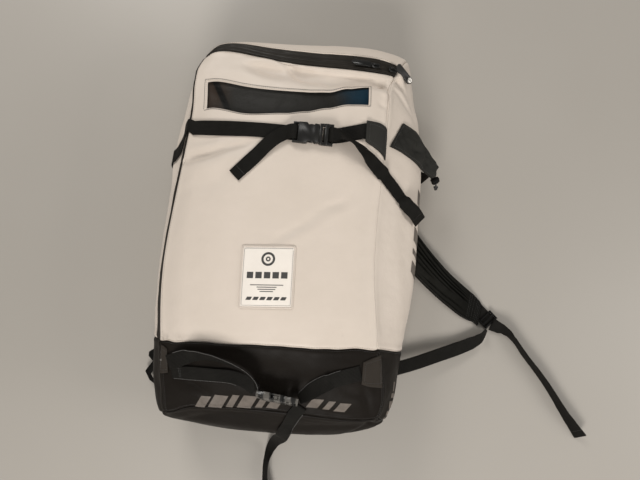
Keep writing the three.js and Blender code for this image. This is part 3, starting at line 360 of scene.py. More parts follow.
# Creases of the front and the boot: from x, y, to x, y, half width, height (a trough is negative).
CREASES = [
    (-190, 104, -122, 124, 7, -7.5), (-122, 124, -66, 139, 6, -3.6), (-176, 122, -112, 142, 8, 3.0),
    (-170, 92, -90, 112, 12, 1.8), (-34, 282, 50, 249, 11, -9.0), (48, 249, 132, 262, 8, -7.5),
    (-110, 282, -40, 268, 18, 3.8), (30, 276, 120, 270, 10, 3.4), (118, 262, 150, 270, 6, 3.4),
    (128, 252, 150, 258, 5, -4.0), (136, 244, 149, 236, 5, 2.6), (112, 258, 138, 256, 3.4, -4.5),
    (136, 257, 150, 248, 3.4, -5.0), (-96, 278, -30, 260, 8, -5.0), (-24, 284, 34, 276, 5, 3.0),
    (132, 226, 150, 214, 6, -2.4), (-160, 246, -120, 206, 12, -1.8), (-120, 232, 20, 208, 10, -1.0),
    (54, 30, -18, -20, 7, -2.2), (92, 54, 52, 32, 6, -2.4), (66, 22, -8, -30, 9, 1.6),
    (104, 44, 66, 22, 8, 1.4), (-150, 60, -90, 84, 12, -1.4), (-192, 40, -150, 66, 10, -0.9),
    (-150, 92, -20, 118, 16, 1.0), (110, -80, 60, -150, 18, -0.8), (-190, -178, -110, -186, 9, -1.6),
    (-180, -236, -128, -262, 8, -2.6), (-150, -228, -40, -246, 11, 1.8), (30, -262, 66, -284, 10, -5),
    (-141, -250, -104, -266, 5, -3.2), (-150, -262, -100, -280, 8, 2.4), (-60, -290, 40, -286, 7, -2.6),
    (60, -284, 120, -292, 6, -2.6), (-10, -270, 30, -250, 9, 2.4), (40, -240, 100, -226, 10, 1.6),
    (110, -250, 164, -262, 8, -2.2), (140, -240, 158, -292, 7, -2.4), (-40, -204, 90, -214, 16, -2.0),
]

# Soft buckles of the sides: place round the loop, depth row, half length, half width, turn, height.
BUCKLES = [
    (6, 3.4, 90, 14, 12, 2.2), (9.5, 4.4, 110, 16, -6, -2.6), (13.2, 3.0, 60, 12, 30, 2.4),
    (14.4, 1.5, 30, 6, 8, -2.2), (14.2, 3.0, 40, 7, 10, 2.6), (18.2, 3.2, 70, 12, 38, 1.0),
    (24, 3.4, 90, 14, 6, -2.2), (29, 4.2, 100, 16, -8, 2.2), (33.6, 0.9, 26, 6, 30, 4.2),
    (34.2, 1.1, 26, 5, 38, -4.4), (34.9, 1.3, 30, 6, 52, 3.0), (35.6, 1.6, 34, 7, 48, -3.0),
    (36.4, 2.6, 50, 9, 24, -2.2), (40, 3.6, 90, 14, -14, 2.2), (44.6, 2.4, 110, 16, 10, -1.6),
    (48.6, 3.8, 90, 13, -10, 2.2), (52.2, 2.2, 36, 8, -38, 2.6), (53.4, 1.6, 34, 7, -52, -3.6),
    (54.6, 1.8, 36, 7, 48, -3.2), (57, 1.2, 70, 9, 8, -2.6), (60, 2.2, 90, 14, -6, 2.4),
    (63.5, 1.0, 60, 9, 14, -2.4), (2, 3.6, 80, 12, 10, 2.4),
]


def creases_at(p):
    total = np.zeros(p.shape[:-1])
    for x0, y0, x1, y1, wide, height in CREASES:
        way = np.array([x1 - x0, y1 - y0], float)
        bent = p[..., :2] + (noise(p, 45, 1) * wide * 0.9)[..., None] * (0.3, 1) - (x0, y0)
        t = np.clip((bent @ way) / (way @ way), 0, 1)
        away = np.linalg.norm(bent - t[..., None] * way, axis=-1)
        total += height * bell(away, wide) * np.sin(np.pi * mix(0.12, 0.88, t))
    return total


def buckles_at(band, run, down):
    total = np.zeros(band.shape[:2])
    around = run[:, WIDEST_ROW * FINE][:, None]
    full = around[-1]
    for place, depth, long, wide, turn, height in BUCKLES:
        at_run = np.interp(place, np.arange(LOOP) / FINE, around[:, 0])
        at_down = np.interp(depth, np.arange(band.shape[1]) / FINE, down[int(place * FINE) % LOOP])
        du = (around - at_run + full / 2) % full - full / 2
        total += height * mound(du, down - at_down, turn, long, wide)
    return total


def seam_profile(distance, place, pucker=1.0, depth=1.0):
    """Dip into a seam, the puffed cloth beside it, and the puckers across it."""
    dip = -1.5 * depth * bell(distance, 1.4)
    puff = 0.7 * depth * bell(distance - 6, 4)
    wave = noise(np.stack([place, distance * 0.25, place * 0], -1), 9, 2)
    return dip + puff + pucker * 0.75 * wave * np.exp(-distance / 9) * np.minimum(1, distance / 2)


def soft(p):
    return 1.1 * noise(p, 95, 2) + 0.35 * noise(p * (1, 1.6, 1), 26, 2)


def gathered(net):
    """The right seam lies flat except near the top corner, where it is gathered."""
    return smooth((net[..., 1] - 150) / 70)


front_x, front_y = arc(front, 0), arc(front, 1)
gather = gathered(front)
front_relief = soft(front) + creases_at(front)
for distance, place, pucker, deep in (
    (front_x, front_y, 0.8, 0.7),
    (front_x[-1] - front_x, front_y, 0.35 + 1.6 * gather, 0.5 + 1.0 * gather),
    (np.abs(front_y - front_y[:, BOOT_ROW * FINE][:, None]), front_x, 0.8, 0.8),
    (front_y, front_x, 1.4, 1),
    (front_y[:, -1][:, None] - front_y, front_x, 1.2, 0.8),
):
    front_relief += seam_profile(distance, place, pucker, deep)

band_down = arc(band, 1)
band_up = band_down[:, -1][:, None] - band_down
band_run = np.cumsum(np.linalg.norm(np.roll(band, -1, axis=0) - band, axis=-1), axis=0)
gather = gathered(band)
on_right = smooth((band[..., 0] - 60) / 60) * (band[..., 1] > -230)
band_relief = 1.5 * soft(band) + buckles_at(band, band_run, band_down)
band_relief *= smooth(band_down / 14) * smooth(band_up / 25)
band_relief += seam_profile(band_down, band_run, mix(1.0, 0.35 + 1.6 * gather, on_right),
                            mix(0.9, 0.5 + 1.0 * gather, on_right))
band_relief += seam_profile(band_up, band_run, 0.6)
for corner in (0, LEFT_BOOT, TOP_LEFT, TOP_RIGHT, RIGHT_BOOT, BOTTOM_RIGHT):
    gap = np.abs(band_run - band_run[corner * FINE][None, :])
    band_relief += seam_profile(np.minimum(gap, band_run[-1][None, :] - gap), band_down, 0.8)

# Where the front meets the band they share normals and relief, so that the seam stays shut.
seam = tuple(border(np.moveaxis(np.indices(front.shape[:2]), 0, -1))[:0:-1].T)
band_out[:, 0] = front_out[seam] = unit(band_out[:, 0] + front_out[seam])
front_relief[seam] = band_relief[:, 0] = mix(-1.2, -0.45 - 1.2 * gather[:, 0], on_right[:, 0])

front_skin = front + front_out * front_relief[..., None]
band_skin = band + band_out * band_relief[..., None]
front_out, band_out = grid_normals(front_skin), ring_normals(band_skin)

# Every strap and patch is laid on this surface.
band_faces = grid_faces(*band.shape[:2], offset=front.shape[0] * front.shape[1], around=True)
skin_tree = BVHTree.FromPolygons(
    np.concatenate([front_skin.reshape(-1, 3), band_skin.reshape(-1, 3)]).tolist(),
    grid_faces(*front.shape[:2]) + [f[:1] + f[:0:-1] for f in band_faces],
)


ABOVE_ALL = 500


def meet(tree, x, y, z, way, miss):
    """Height where a ray straight up or down meets a surface."""
    hit = tree.ray_cast(Vector((x, y, z)), Vector((0, 0, way)))[0]
    return hit.z if hit else miss


def top_at(x, y):
    return meet(skin_tree, x, y, ABOVE_ALL, -1, 0.0)


def laid(x, y, over):
    return (x, y, top_at(x, y) + over)


def gusset_point(k, depth, lift=0.0):
    at_k, at_d = k * FINE, min(max(depth * FINE, 0), band.shape[1] - 1.001)
    k0, d0 = int(math.floor(at_k)), int(at_d)
    u, v = at_k - k0, at_d - d0
    total, normal = np.zeros(3), np.zeros(3)
    for row, wk in ((k0 % LOOP, 1 - u), ((k0 + 1) % LOOP, u)):
        for column, wd in ((d0, 1 - v), (d0 + 1, v)):
            total += band_skin[row, column] * wk * wd
            normal += band_out[row, column] * wk * wd
    return total + unit(normal) * lift


# Materials.


class Nodes:
    """A material's nodes, made one after another."""

    def __init__(self, name):
        MATERIALS[name] = material = bpy.data.materials.new(name)
        material.use_nodes = True
        self.tree = material.node_tree
        self.shader = self.tree.nodes["Principled BSDF"]
        places = self.add("ShaderNodeTexCoord").outputs
        self.place, self.uv = places["Object"], places["UV"]

    def add(self, kind, inputs=(), **settings):
        node = self.tree.nodes.new(kind)
        for key, value in settings.items():
            setattr(node, key, value)
        for socket, value in dict(inputs).items():
            if isinstance(value, bpy.types.NodeSocket):
                self.tree.links.new(value, node.inputs[socket])
            else:
                node.inputs[socket].default_value = value
        return node

    def math(self, operation, *values):
        return self.add("ShaderNodeMath", dict(enumerate(values)), operation=operation).outputs[0]

    def axes(self):
        return self.add("ShaderNodeSeparateXYZ", {0: self.place}).outputs

    def noise(self, scale, detail=3.0, rough=0.55):
        inputs = {"Scale": scale, "Detail": detail, "Roughness": rough, "Vector": self.place}
        return self.add("ShaderNodeTexNoise", inputs).outputs[0]

    def bands(self, direction, period, vector=None):
        """Soft stripes across a direction of the vector, one each period in metres."""
        inputs = {"Vector": vector or self.uv, "Scale": math.pi / (10 * period)}
        return self.add("ShaderNodeTexWave", inputs, wave_type="BANDS", bands_direction=direction,
                        wave_profile="SIN").outputs["Fac"]

    def weave(self, period):
        """Height of a plain weave."""
        across, along = self.bands("X", period), self.bands("Y", period)
        return self.math("MULTIPLY", self.math("ADD", across, along), 0.5)

    def ramp(self, factor, *stops):
        node = self.add("ShaderNodeValToRGB", {0: factor})
        elements = node.color_ramp.elements
        while len(elements) < len(stops):
            elements.new(0.5)
        for element, (place, color) in zip(elements, stops):
            element.position = place
            element.color = (*color, 1) if hasattr(color, "__len__") else (color, color, color, 1)
        return node.outputs[0]

    def bump(self, height, strength, distance, normal=None):
        inputs = {"Height": height, "Strength": strength, "Distance": distance}
        if normal is not None:
            inputs["Normal"] = normal
        return self.add("ShaderNodeBump", inputs).outputs[0]

    def link(self, source, socket):
        self.tree.links.new(source, self.shader.inputs[socket])

    def paint(self, factor, *stops):
        self.link(self.ramp(factor, *stops), "Base Color")

    def cover(self, factor, color):
        """Another colour over the base colour, where the factor says."""
        under = self.shader.inputs["Base Color"].links[0].from_socket
        inputs = {0: factor, 6: under, 7: (*color, 1)}
        self.link(self.add("ShaderNodeMix", inputs, data_type="RGBA").outputs[2], "Base Color")

    def vary_rough(self, noise, low, high):
        self.link(self.ramp(self.noise(*noise), low, high), "Roughness")

    def raise_by(self, *bump):
        self.link(self.bump(*bump), "Normal")

    def set(self, **values):
        for key, value in values.items():
            self.shader.inputs[key.replace("_", " ")].default_value = value


def shaded(color, share):
    return tuple(c * share for c in color)


def coated_cloth(name, light, dark, rough=0.72, shine=0.1, period=0.0009, weave_depth=0.0001):
    m = Nodes(name)
    m.paint(m.noise(9, 4), (0.3, dark), (0.7, light))
    m.vary_rough((30, 3), (0.25, rough - 0.07), (0.75, rough + 0.07))
    dimple = m.bump(m.noise(22, 3, 0.5), 0.3, 0.004)
    fold = m.bump(m.noise(75, 5, 0.6), 0.35, 0.0011, dimple)
    m.raise_by(m.weave(period), 0.8, weave_depth, fold)
    m.set(Specular_IOR_Level=shine)
    return m


def cream_cloth():
    """Cream cloth, a little soiled all over, with painted shade and some soil in patches along the boot seam
    at its lower left.
    """
    m = coated_cloth("cream_cloth", (0.66, 0.58, 0.505), (0.615, 0.54, 0.465), 0.46, 0.3, 0.0011, 0.00006)
    m.cover(m.ramp(m.noise(38, 6, 0.65), (0.66, 0.0), (0.78, 0.12)), (0.2, 0.18, 0.15))
    # Painted shade with some soil: darker patches along the boot seam at the lower left.
    place = m.axes()
    low = m.ramp(m.math("MULTIPLY_ADD", place[1], 20.0, 4.4), (0.5, 1.0), (0.86, 0.0))
    side = m.ramp(m.math("MULTIPLY_ADD", place[0], 4.0, 1.0), (0.2, 1.0), (0.62, 0.0))
    patchy = m.ramp(m.noise(60, 5, 0.7), (0.42, 0.0), (0.66, 0.75))
    m.cover(m.math("MULTIPLY", m.math("MULTIPLY", low, side), patchy), (0.2, 0.17, 0.14))
    m.set(Sheen_Weight=0.06, Sheen_Roughness=0.5)


def pad_cloth():
    """Padded cloth, darker towards its sewn end."""
    m = coated_cloth("pad_cloth", (0.021, 0.0205, 0.0175), (0.0125, 0.0122, 0.0105), shine=0.04)
    far = m.ramp(m.math("MULTIPLY_ADD", m.axes()[0], 5.0, -1.0), (0.15, 0.0), (0.75, 0.85))
    m.cover(far, (0.005, 0.0048, 0.0041))


def webbing():
    m = Nodes("webbing")
    herring = m.math("MULTIPLY", m.bands("X", 0.0021), m.bands("Y", 0.0016))
    m.paint(m.math("ADD", herring, m.math("MULTIPLY", m.noise(60), 0.5)),
            (0.2, (0.005, 0.0047, 0.004)), (1.0, (0.018, 0.0166, 0.0142)))
    m.raise_by(herring, 0.9, 0.0004)
    m.set(Roughness=0.62, Specular_IOR_Level=0.07)


def thread(name, color):
    m = Nodes(name)
    twist = m.bands("DIAGONAL", 0.0006, m.place)
    m.paint(twist, (0.0, shaded(color, 0.7)), (1.0, color))
    m.raise_by(twist, 0.6, 0.0001)
    m.set(Roughness=0.6, Sheen_Weight=0.3)


def plastic(name, color, rough, shine=0.35, ribs=None):
    """Moulded plastic, with painted highlights as lighter bands across its ribs where ribs gives their
    spacing.
    """
    m = Nodes(name)
    if ribs:
        # Painted highlights: lighter bands across the ribs, made patchy by noise.
        rib_highlights = m.math("ADD", m.bands("X", ribs, m.place), m.math("MULTIPLY", m.noise(170, 4, 0.6), 0.7))
        m.paint(rib_highlights, (0.62, color), (0.95, (0.105, 0.098, 0.088)))
    else:
        m.paint(m.noise(40, 4), (0.3, shaded(color, 0.85)), (0.75, color))
    m.vary_rough((90, 5, 0.6), (0.3, rough - 0.06), (0.75, rough + 0.1))
    m.raise_by(m.noise(900, 3), 0.25, 0.00012)
    m.set(Specular_IOR_Level=shine)


def bright_metal():
    color, rough = (0.5, 0.48, 0.45), 0.36
    m = Nodes("bright_metal")
    m.paint(m.noise(120, 4), (0.3, shaded(color, 0.8)), (0.75, color))
    m.vary_rough((200, 4), (0.3, rough - 0.05), (0.75, rough + 0.12))
    m.set(Metallic=1.0)


def kite_cloth():
    """The kite's own cloth: black and brown panels and a blue one, seen through the window."""
    m = Nodes("kite_fill")
    x, y = m.axes()[:2]
    m.paint(m.math("MULTIPLY", x, -1.0), (0.11, (0.034, 0.032, 0.028)), (0.14, (0.075, 0.05, 0.036)))
    blue = m.ramp(m.math("ADD", x, m.math("MULTIPLY", m.noise(18, 2), 0.05)), (0.085, 0.0), (0.125, 1.0))
    m.cover(blue, (0.012, 0.06, 0.105))
    slant = m.math("ABSOLUTE", m.math("ADD", m.math("ADD", x, m.math("MULTIPLY", y, 0.55)), 0.0105))
    m.cover(m.ramp(slant, (0.006, 1.0), (0.008, 0.0)), (0.004, 0.004, 0.004))
    m.raise_by(m.noise(40, 4), 0.5, 0.004)
    m.set(Roughness=0.45, Specular_IOR_Level=0.12)


def window_cloth():
    m = Nodes("window_cloth")
    mesh = m.math("MULTIPLY", m.bands("X", 0.0012), m.bands("Y", 0.0012))
    m.paint(m.math("ADD", mesh, m.noise(25)), (0.4, (0.006, 0.0056, 0.005)), (1.4, (0.015, 0.0142, 0.0125)))
    m.raise_by(mesh, 0.5, 0.0001, m.bump(m.noise(30, 3), 0.3, 0.002))
    m.set(Roughness=0.32, Alpha=0.38, Specular_IOR_Level=0.05)


def zip_tape():
    m = Nodes("zip_tape")
    teeth = m.bands("Y", 0.0024)
    m.paint(m.math("ADD", teeth, m.noise(50)), (0.2, (0.007, 0.0062, 0.0052)), (1.6, (0.025, 0.0215, 0.0175)))
    m.raise_by(teeth, 0.7, 0.0003)
    m.vary_rough((60, 3), (0.3, 0.3), (0.7, 0.48))
    m.set(Specular_IOR_Level=0.1)


def label_white():
    m = Nodes("label_white")
    m.paint(m.noise(30, 4), (0.3, (0.79, 0.735, 0.665)), (0.7, (0.85, 0.79, 0.72)))
    m.raise_by(m.weave(0.0007), 0.5, 0.00008)
    m.set(Roughness=0.5, Sheen_Weight=0.2)


def print_grey():
    m = Nodes("print_grey")
    m.paint(m.noise(55, 5, 0.7), (0.3, (0.1, 0.085, 0.072)), (0.7, (0.17, 0.145, 0.125)))
    m.raise_by(m.noise(900, 2), 0.3, 0.00005)
    m.set(Roughness=0.55, Specular_IOR_Level=0.2)


def floor_grey():
    m = Nodes("floor")
    m.paint(m.noise(1.2, 3), (0.3, (0.36, 0.335, 0.3)), (0.7, (0.385, 0.36, 0.325)))
    m.raise_by(m.noise(45, 3), 0.06, 0.002)
    m.set(Roughness=0.42, Specular_IOR_Level=0.4)


for make in (cream_cloth, pad_cloth, webbing, bright_metal, kite_cloth, window_cloth, zip_tape,
             label_white, print_grey, floor_grey):
    make()
coated_cloth("black_cloth", (0.0128, 0.0104, 0.0084), (0.0085, 0.0068, 0.0054), 0.5, 0.06, 0.0011, 0.00006)
coated_cloth("grey_patch", (0.035, 0.034, 0.03), (0.023, 0.022, 0.0195))
coated_cloth("back_cloth", (0.035, 0.034, 0.03), (0.023, 0.022, 0.0195))
coated_cloth("low_patch", (0.037, 0.031, 0.0255), (0.025, 0.021, 0.0172), shine=0.08)
coated_cloth("flap_cloth", (0.034, 0.033, 0.029), (0.017, 0.0165, 0.0145))
plastic("buckle_plastic", (0.0135, 0.013, 0.0122), 0.38, 0.26)
plastic("buckle_grey", (0.014, 0.0135, 0.0125), 0.3, 0.4, ribs=0.0165)
plastic("lock_plastic", (0.0055, 0.0053, 0.005), 0.55, 0.1)
plastic("zip_metal", (0.01, 0.01, 0.0095), 0.3, 0.22)
plastic("pull_rubber", (0.022, 0.021, 0.02), 0.5)
thread("cream_thread", (0.52, 0.46, 0.4))
thread("black_thread", (0.026, 0.0235, 0.021))
thread("dark_thread", (0.013, 0.0118, 0.0105))
# Lighter grey thread, used as painted highlights along the edges of webbing.
thread("painted_edge_highlight", (0.085, 0.08, 0.075))
thread("label_ink", (0.05, 0.048, 0.045))
thread("cord", (0.012, 0.0115, 0.011))

# Panels.


def panel(name, node, slot, grid, normals, lift=0.0, flip=False, skip=None):
    """A cloth panel on a grid of the skin, its edges turned in by the cloth's thickness."""
    outer = grid + normals * lift
    u, v = arc(outer, 0) * MM, arc(outer, 1) * MM
    points = outer.reshape(-1, 3)
    uv = np.stack([u, v], -1).reshape(-1, 2)
    faces = grid_faces(*grid.shape[:2], skip)
    if flip:
        faces = flipped(faces)
    edges = {}
    for f in faces:
        for a, b in zip(f, f[1:] + f[:1]):
            if not edges.pop((b, a), False):
                edges[a, b] = True
    rim = sorted({a for pair in edges for a in pair})
    inner = {a: len(points) + n for n, a in enumerate(rim)}
    points = np.concatenate([points, points[rim] - normals.reshape(-1, 3)[rim] * CLOTH])
    uv = np.concatenate([uv, uv[rim] + CLOTH * MM])
    faces = faces + [(b, a, inner[a], inner[b]) for a, b in edges]
    used = sorted({a for f in faces for a in f})
    place = {a: n for n, a in enumerate(used)}
    faces = [tuple(place[a] for a in f) for f in faces]
    obj = dress(mesh_object(name, points[used], faces, uv[used]), slot, node)


def kite_roll(fine=3, inset=5):
    """The rolled kite that fills the bag, a little inside the cloth."""
    sides = gusset_band(fine)
    top = crowned(*four_sided(sides, 0, fine), fine)
    under = four_sided(sides, -1, fine)[0]
    under[1:-1, 1:-1, 2] = 0
    dents = np.minimum(0, soft(top) + creases_at(top))
    folds = noise(top * (1, 1.7, 1) + (top[..., 1:2] * 0.6), 34, 2)
    points = [
        sides - ring_normals(sides) * inset,
        top - grid_normals(top) * (inset - dents + 2.2 * folds)[..., None],
        under + UP * 4,
    ]
    offset = sides.shape[0] * sides.shape[1]
    faces = [f[1:] + f[:1] for f in grid_faces(*sides.shape[:2], around=True)]
    faces += grid_faces(*top.shape[:2], offset=offset)
    faces += flipped(grid_faces(*top.shape[:2], offset=offset + top.shape[0] * top.shape[1]))
    obj = mesh_object("kite_roll", np.concatenate([p.reshape(-1, 3) for p in points]), faces)
    dress(obj, "kite_fill", "packed_kite")


kite_roll()
boot = BOOT_ROW * FINE
w0, w1 = WINDOW_LEFT * FINE, WINDOW_RIGHT * FINE
h0, h1 = WINDOW_LOW * FINE, WINDOW_HIGH * FINE
panel("front_cloth", "front_panel", "cream_cloth", front_skin[:, boot:], front_out[:, boot:],
      skip=lambda r, c: w0 <= r < w1 and h0 <= c + boot < h1)
panel("window", "window_sheet", "window_cloth", front_skin[w0 : w1 + 1, h0 : h1 + 1],
      front_out[w0 : w1 + 1, h0 : h1 + 1], -WINDOW_DEPTH)
panel("boot_front", "front_base", "black_cloth", front_skin[:, : boot + 1], front_out[:, : boot + 1],
      BOOT_LIFT)


def band_part(k0, k1, d0, d1):
    rows = [k % LOOP for k in range(k0 * FINE, k1 * FINE + 1)]
    span = slice(d0 * FINE, d1 * FINE + 1)
    return band_skin[rows][:, span], band_out[rows][:, span]


SIDES = [
    # name, node, slot, from and to round the loop, first depth row
    ("left_gusset_cloth", "left_gusset", "cream_cloth", LEFT_BOOT, TOP_LEFT, 1),
    ("top_gusset_cloth", "top_gusset", "cream_cloth", TOP_LEFT, TOP_RIGHT, 1),
    ("right_gusset_cloth", "right_gusset", "cream_cloth", TOP_RIGHT, RIGHT_BOOT, 0),
    ("left_boot_cloth", "left_base", "black_cloth", 0, LEFT_BOOT, 0),
    ("right_boot_cloth", "right_base", "black_cloth", RIGHT_BOOT, BOTTOM_RIGHT, 0),
    ("bottom_cloth", "bottom_end", "black_cloth", BOTTOM_RIGHT, AROUND, 0),
]
for name, node, slot, k0, k1, d0 in SIDES:
    lift = BOOT_LIFT if slot == "black_cloth" else 0
    panel(name, node, slot, *band_part(k0, k1, d0, DEPTH_ROWS), lift)


def back_panel():
    """Flat on the floor, its edge rising to the back seam."""
    net = four_sided(gusset_band(4), -1, 4)[0]
    net[..., 2] = 0
    x, y = arc(net, 0), arc(net, 1)
    rim = np.minimum(np.minimum(x, x[-1] - x), np.minimum(y, y[:, -1][:, None] - y))
    net[..., 2] = BACK_SEAM_Z * bell(rim, 7)
    panel("back_cloth", "back_panel", "back_cloth", net, 0 * net - UP, flip=True)


def zip_strip():
    """Two tapes with the coil's ridge between them and a welt along each edge."""
    across = np.linspace(0, 1, FINE * 2 + 1)
    grid, normals = [
        np.stack([points_at(row, np.arange(FINE + 1), across * FINE) for row in rows])
        for rows in band_part(LEFT_BOOT, TOP_RIGHT, 0, 1)
    ]
    ridge = 1.5 * bell(across - 0.48, 0.07) - 0.6
    ridge += 0.7 * bell(across - 0.22, 0.05) + 0.7 * bell(across - 0.76, 0.05)
    normals = unit(normals)
    panel("zip_strip", "zip_tape", "zip_tape", grid + normals * ridge[None, :, None], normals)


back_panel()
zip_strip()

# Webbing.

PROFILE = [
    # place across (0.5 is the left edge), height as a share of the thickness
    (0.5, 0.5), (0.485, 0.85), (0.44, 1.0), (0.3, 0.97), (0.1, 1.0), (-0.1, 1.0), (-0.3, 0.97),
    (-0.44, 1.0), (-0.485, 0.85), (-0.5, 0.5), (-0.485, 0.15), (-0.44, 0.0), (-0.2, 0.02),
    (0.2, 0.02), (0.44, 0.0), (0.485, 0.15),
]
WIDE, THICK, LIE = 25, 1.8, 0.6
FLOOR_GAP, SKIN_GAP, REACH_DOWN = 0.02, 0.35, 25
TAPES = {}


def ribbon(name, left, right, node=None, rests_on=(), thick=THICK, held="laid"):
    """Webbing between the lines of its left and right edges."""
    left, right = np.asarray(left, float), np.asarray(right, float)
    middle = (left + right) / 2
    across = unit(right - left)
    normal = unit(np.cross(across, unit(np.gradient(middle, axis=0))))
    width = np.linalg.norm(right - left, axis=1)
    run = arc(middle)
    points, uv = [], []
    for u, h in PROFILE:
        points.append(middle - across * (u * width)[:, None] + normal * h * thick)
        uv.append(np.stack([(0.5 - u) * width * MM + (0.0004 if h < 0.5 else 0), run * MM], -1))
    rows, ring = len(middle), len(PROFILE)
    faces = flipped(grid_faces(rows, ring, wrap=True))
    faces += [tuple(range(ring))[::-1], tuple((rows - 1) * ring + n for n in range(ring))]
    obj = mesh_object(name, np.stack(points, 1).reshape(-1, 3), faces, np.stack(uv, 1).reshape(-1, 2))
    dress(obj, "webbing", node)
    TAPES[name] = (left + normal * (thick + 0.1), right + normal * (thick + 0.1), run)


def laid_lines(keys, table, width=WIDE, step=4):
    """Edge lines of webbing along a table of x, y and z, or over, the height above the cloth.

    Between rows that say over and no bank it lies on the cloth, and else it has the rows' bank."""
    rows = [{k: v for k, v in zip(keys.split(), row) if v is not None} for row in table]
    last = len(rows) - 1
    banks = np.radians([r.get("bank", 0) for r in rows])
    points = [
        (r["x"], r["y"], r["z"] if "z" in r else
         top_at(r["x"], r["y"]) + r["over"] + abs(math.sin(b)) * width / 2)
        for r, b in zip(rows, banks)
    ]
    places = []
    for n in range(last):
        count = max(2, round(math.dist(points[n][:2], points[n + 1][:2]) / step))
        places.extend(n + np.arange(count) / count)
    places = np.array(places + [float(last)])
    middle = curve_at(points, places)
    along = np.gradient(middle, axis=0)
    out = unit(np.stack([-along[:, 1], along[:, 0], 0 * along[:, 0]], -1))
    left, right = middle.copy(), middle.copy()
    for n, place in enumerate(places):
        i, t = int(place), smooth(place - int(place))
        bank = mix(banks[i], banks[min(i + 1, last)], t)
        a, b = rows[min(i, last - 1)], rows[min(i + 1, last)]
        flat = all("over" in r and "bank" not in r for r in (a, b))
        if flat:
            probe = out[n] * width * 0.3
            rise = top_at(*(middle[n] + probe)[:2]) - top_at(*(middle[n] - probe)[:2])
            bank = math.atan2(rise, width * 0.6)
        side = out[n] * width / 2 * math.cos(bank) + UP * width / 2 * math.sin(bank)
        left[n] += side
        right[n] -= side
        if flat:
            over = mix(a["over"], b["over"], t)
            spots = [mix(left[n], right[n], u) for u in np.linspace(0, 1, 5)]
            lift = max(top_at(*spot[:2]) + over - spot[2] for spot in spots)
            left[n, 2] += lift
            right[n, 2] += lift
    raised = np.zeros(len(left))
    for n in range(len(left)):
        for u in (0, 0.2, 0.4, 0.6, 0.8, 1):
            x, y, z = mix(left[n], right[n], u)
            top = top_at(x, y)
            if top > 0 and z > top - REACH_DOWN:
                raised[n] = max(raised[n], top + SKIN_GAP - z)
    spread = np.array([raised[max(0, n - 1) : n + 2].max() for n in range(len(raised))])
    for line in (left, right):
        line[:, 2] = np.maximum(line[:, 2] + spread, FLOOR_GAP)
    return left, right


# Upper strap, left half: down the gusset, over the zip and the front seam, across the panel.
WRAP = [
    # depth row and place round the loop of the high edge, then of the low edge
    (5.2, 13.6, 5.2, 12.75), (4.2, 13.65, 4.2, 12.8), (3.2, 13.75, 3.2, 12.95), (2.4, 13.9, 2.2, 13.15),
    (1.8, 14.15, 1.4, 13.35), (1.6, 14.6, 0.95, 13.6), (1.5, 15.05, 0.75, 13.85), (1.25, 15.3, 0.5, 14.15),
    (0.7, 15.38, 0.3, 14.4), (0.15, 15.38, 0.15, 14.6),
]
wrap = curve_at(WRAP, np.linspace(0, len(WRAP) - 1, 66))
across = laid_lines("x y over", [
    (-172, 160, LIE + 0.6), (-150, 159.2, LIE), (-80, 157.5, LIE), (-8, 154.2, LIE), (4.5, 154, LIE),
])
ribbon("upper_strap_left_webbing",
       np.concatenate([[gusset_point(k, depth, 1.5) for depth, k, _, _ in wrap], across[0]]),
       np.concatenate([[gusset_point(k, depth, 1.5) for _, _, depth, k in wrap], across[1]]),
       "upper_strap_left", ["front_cloth"])

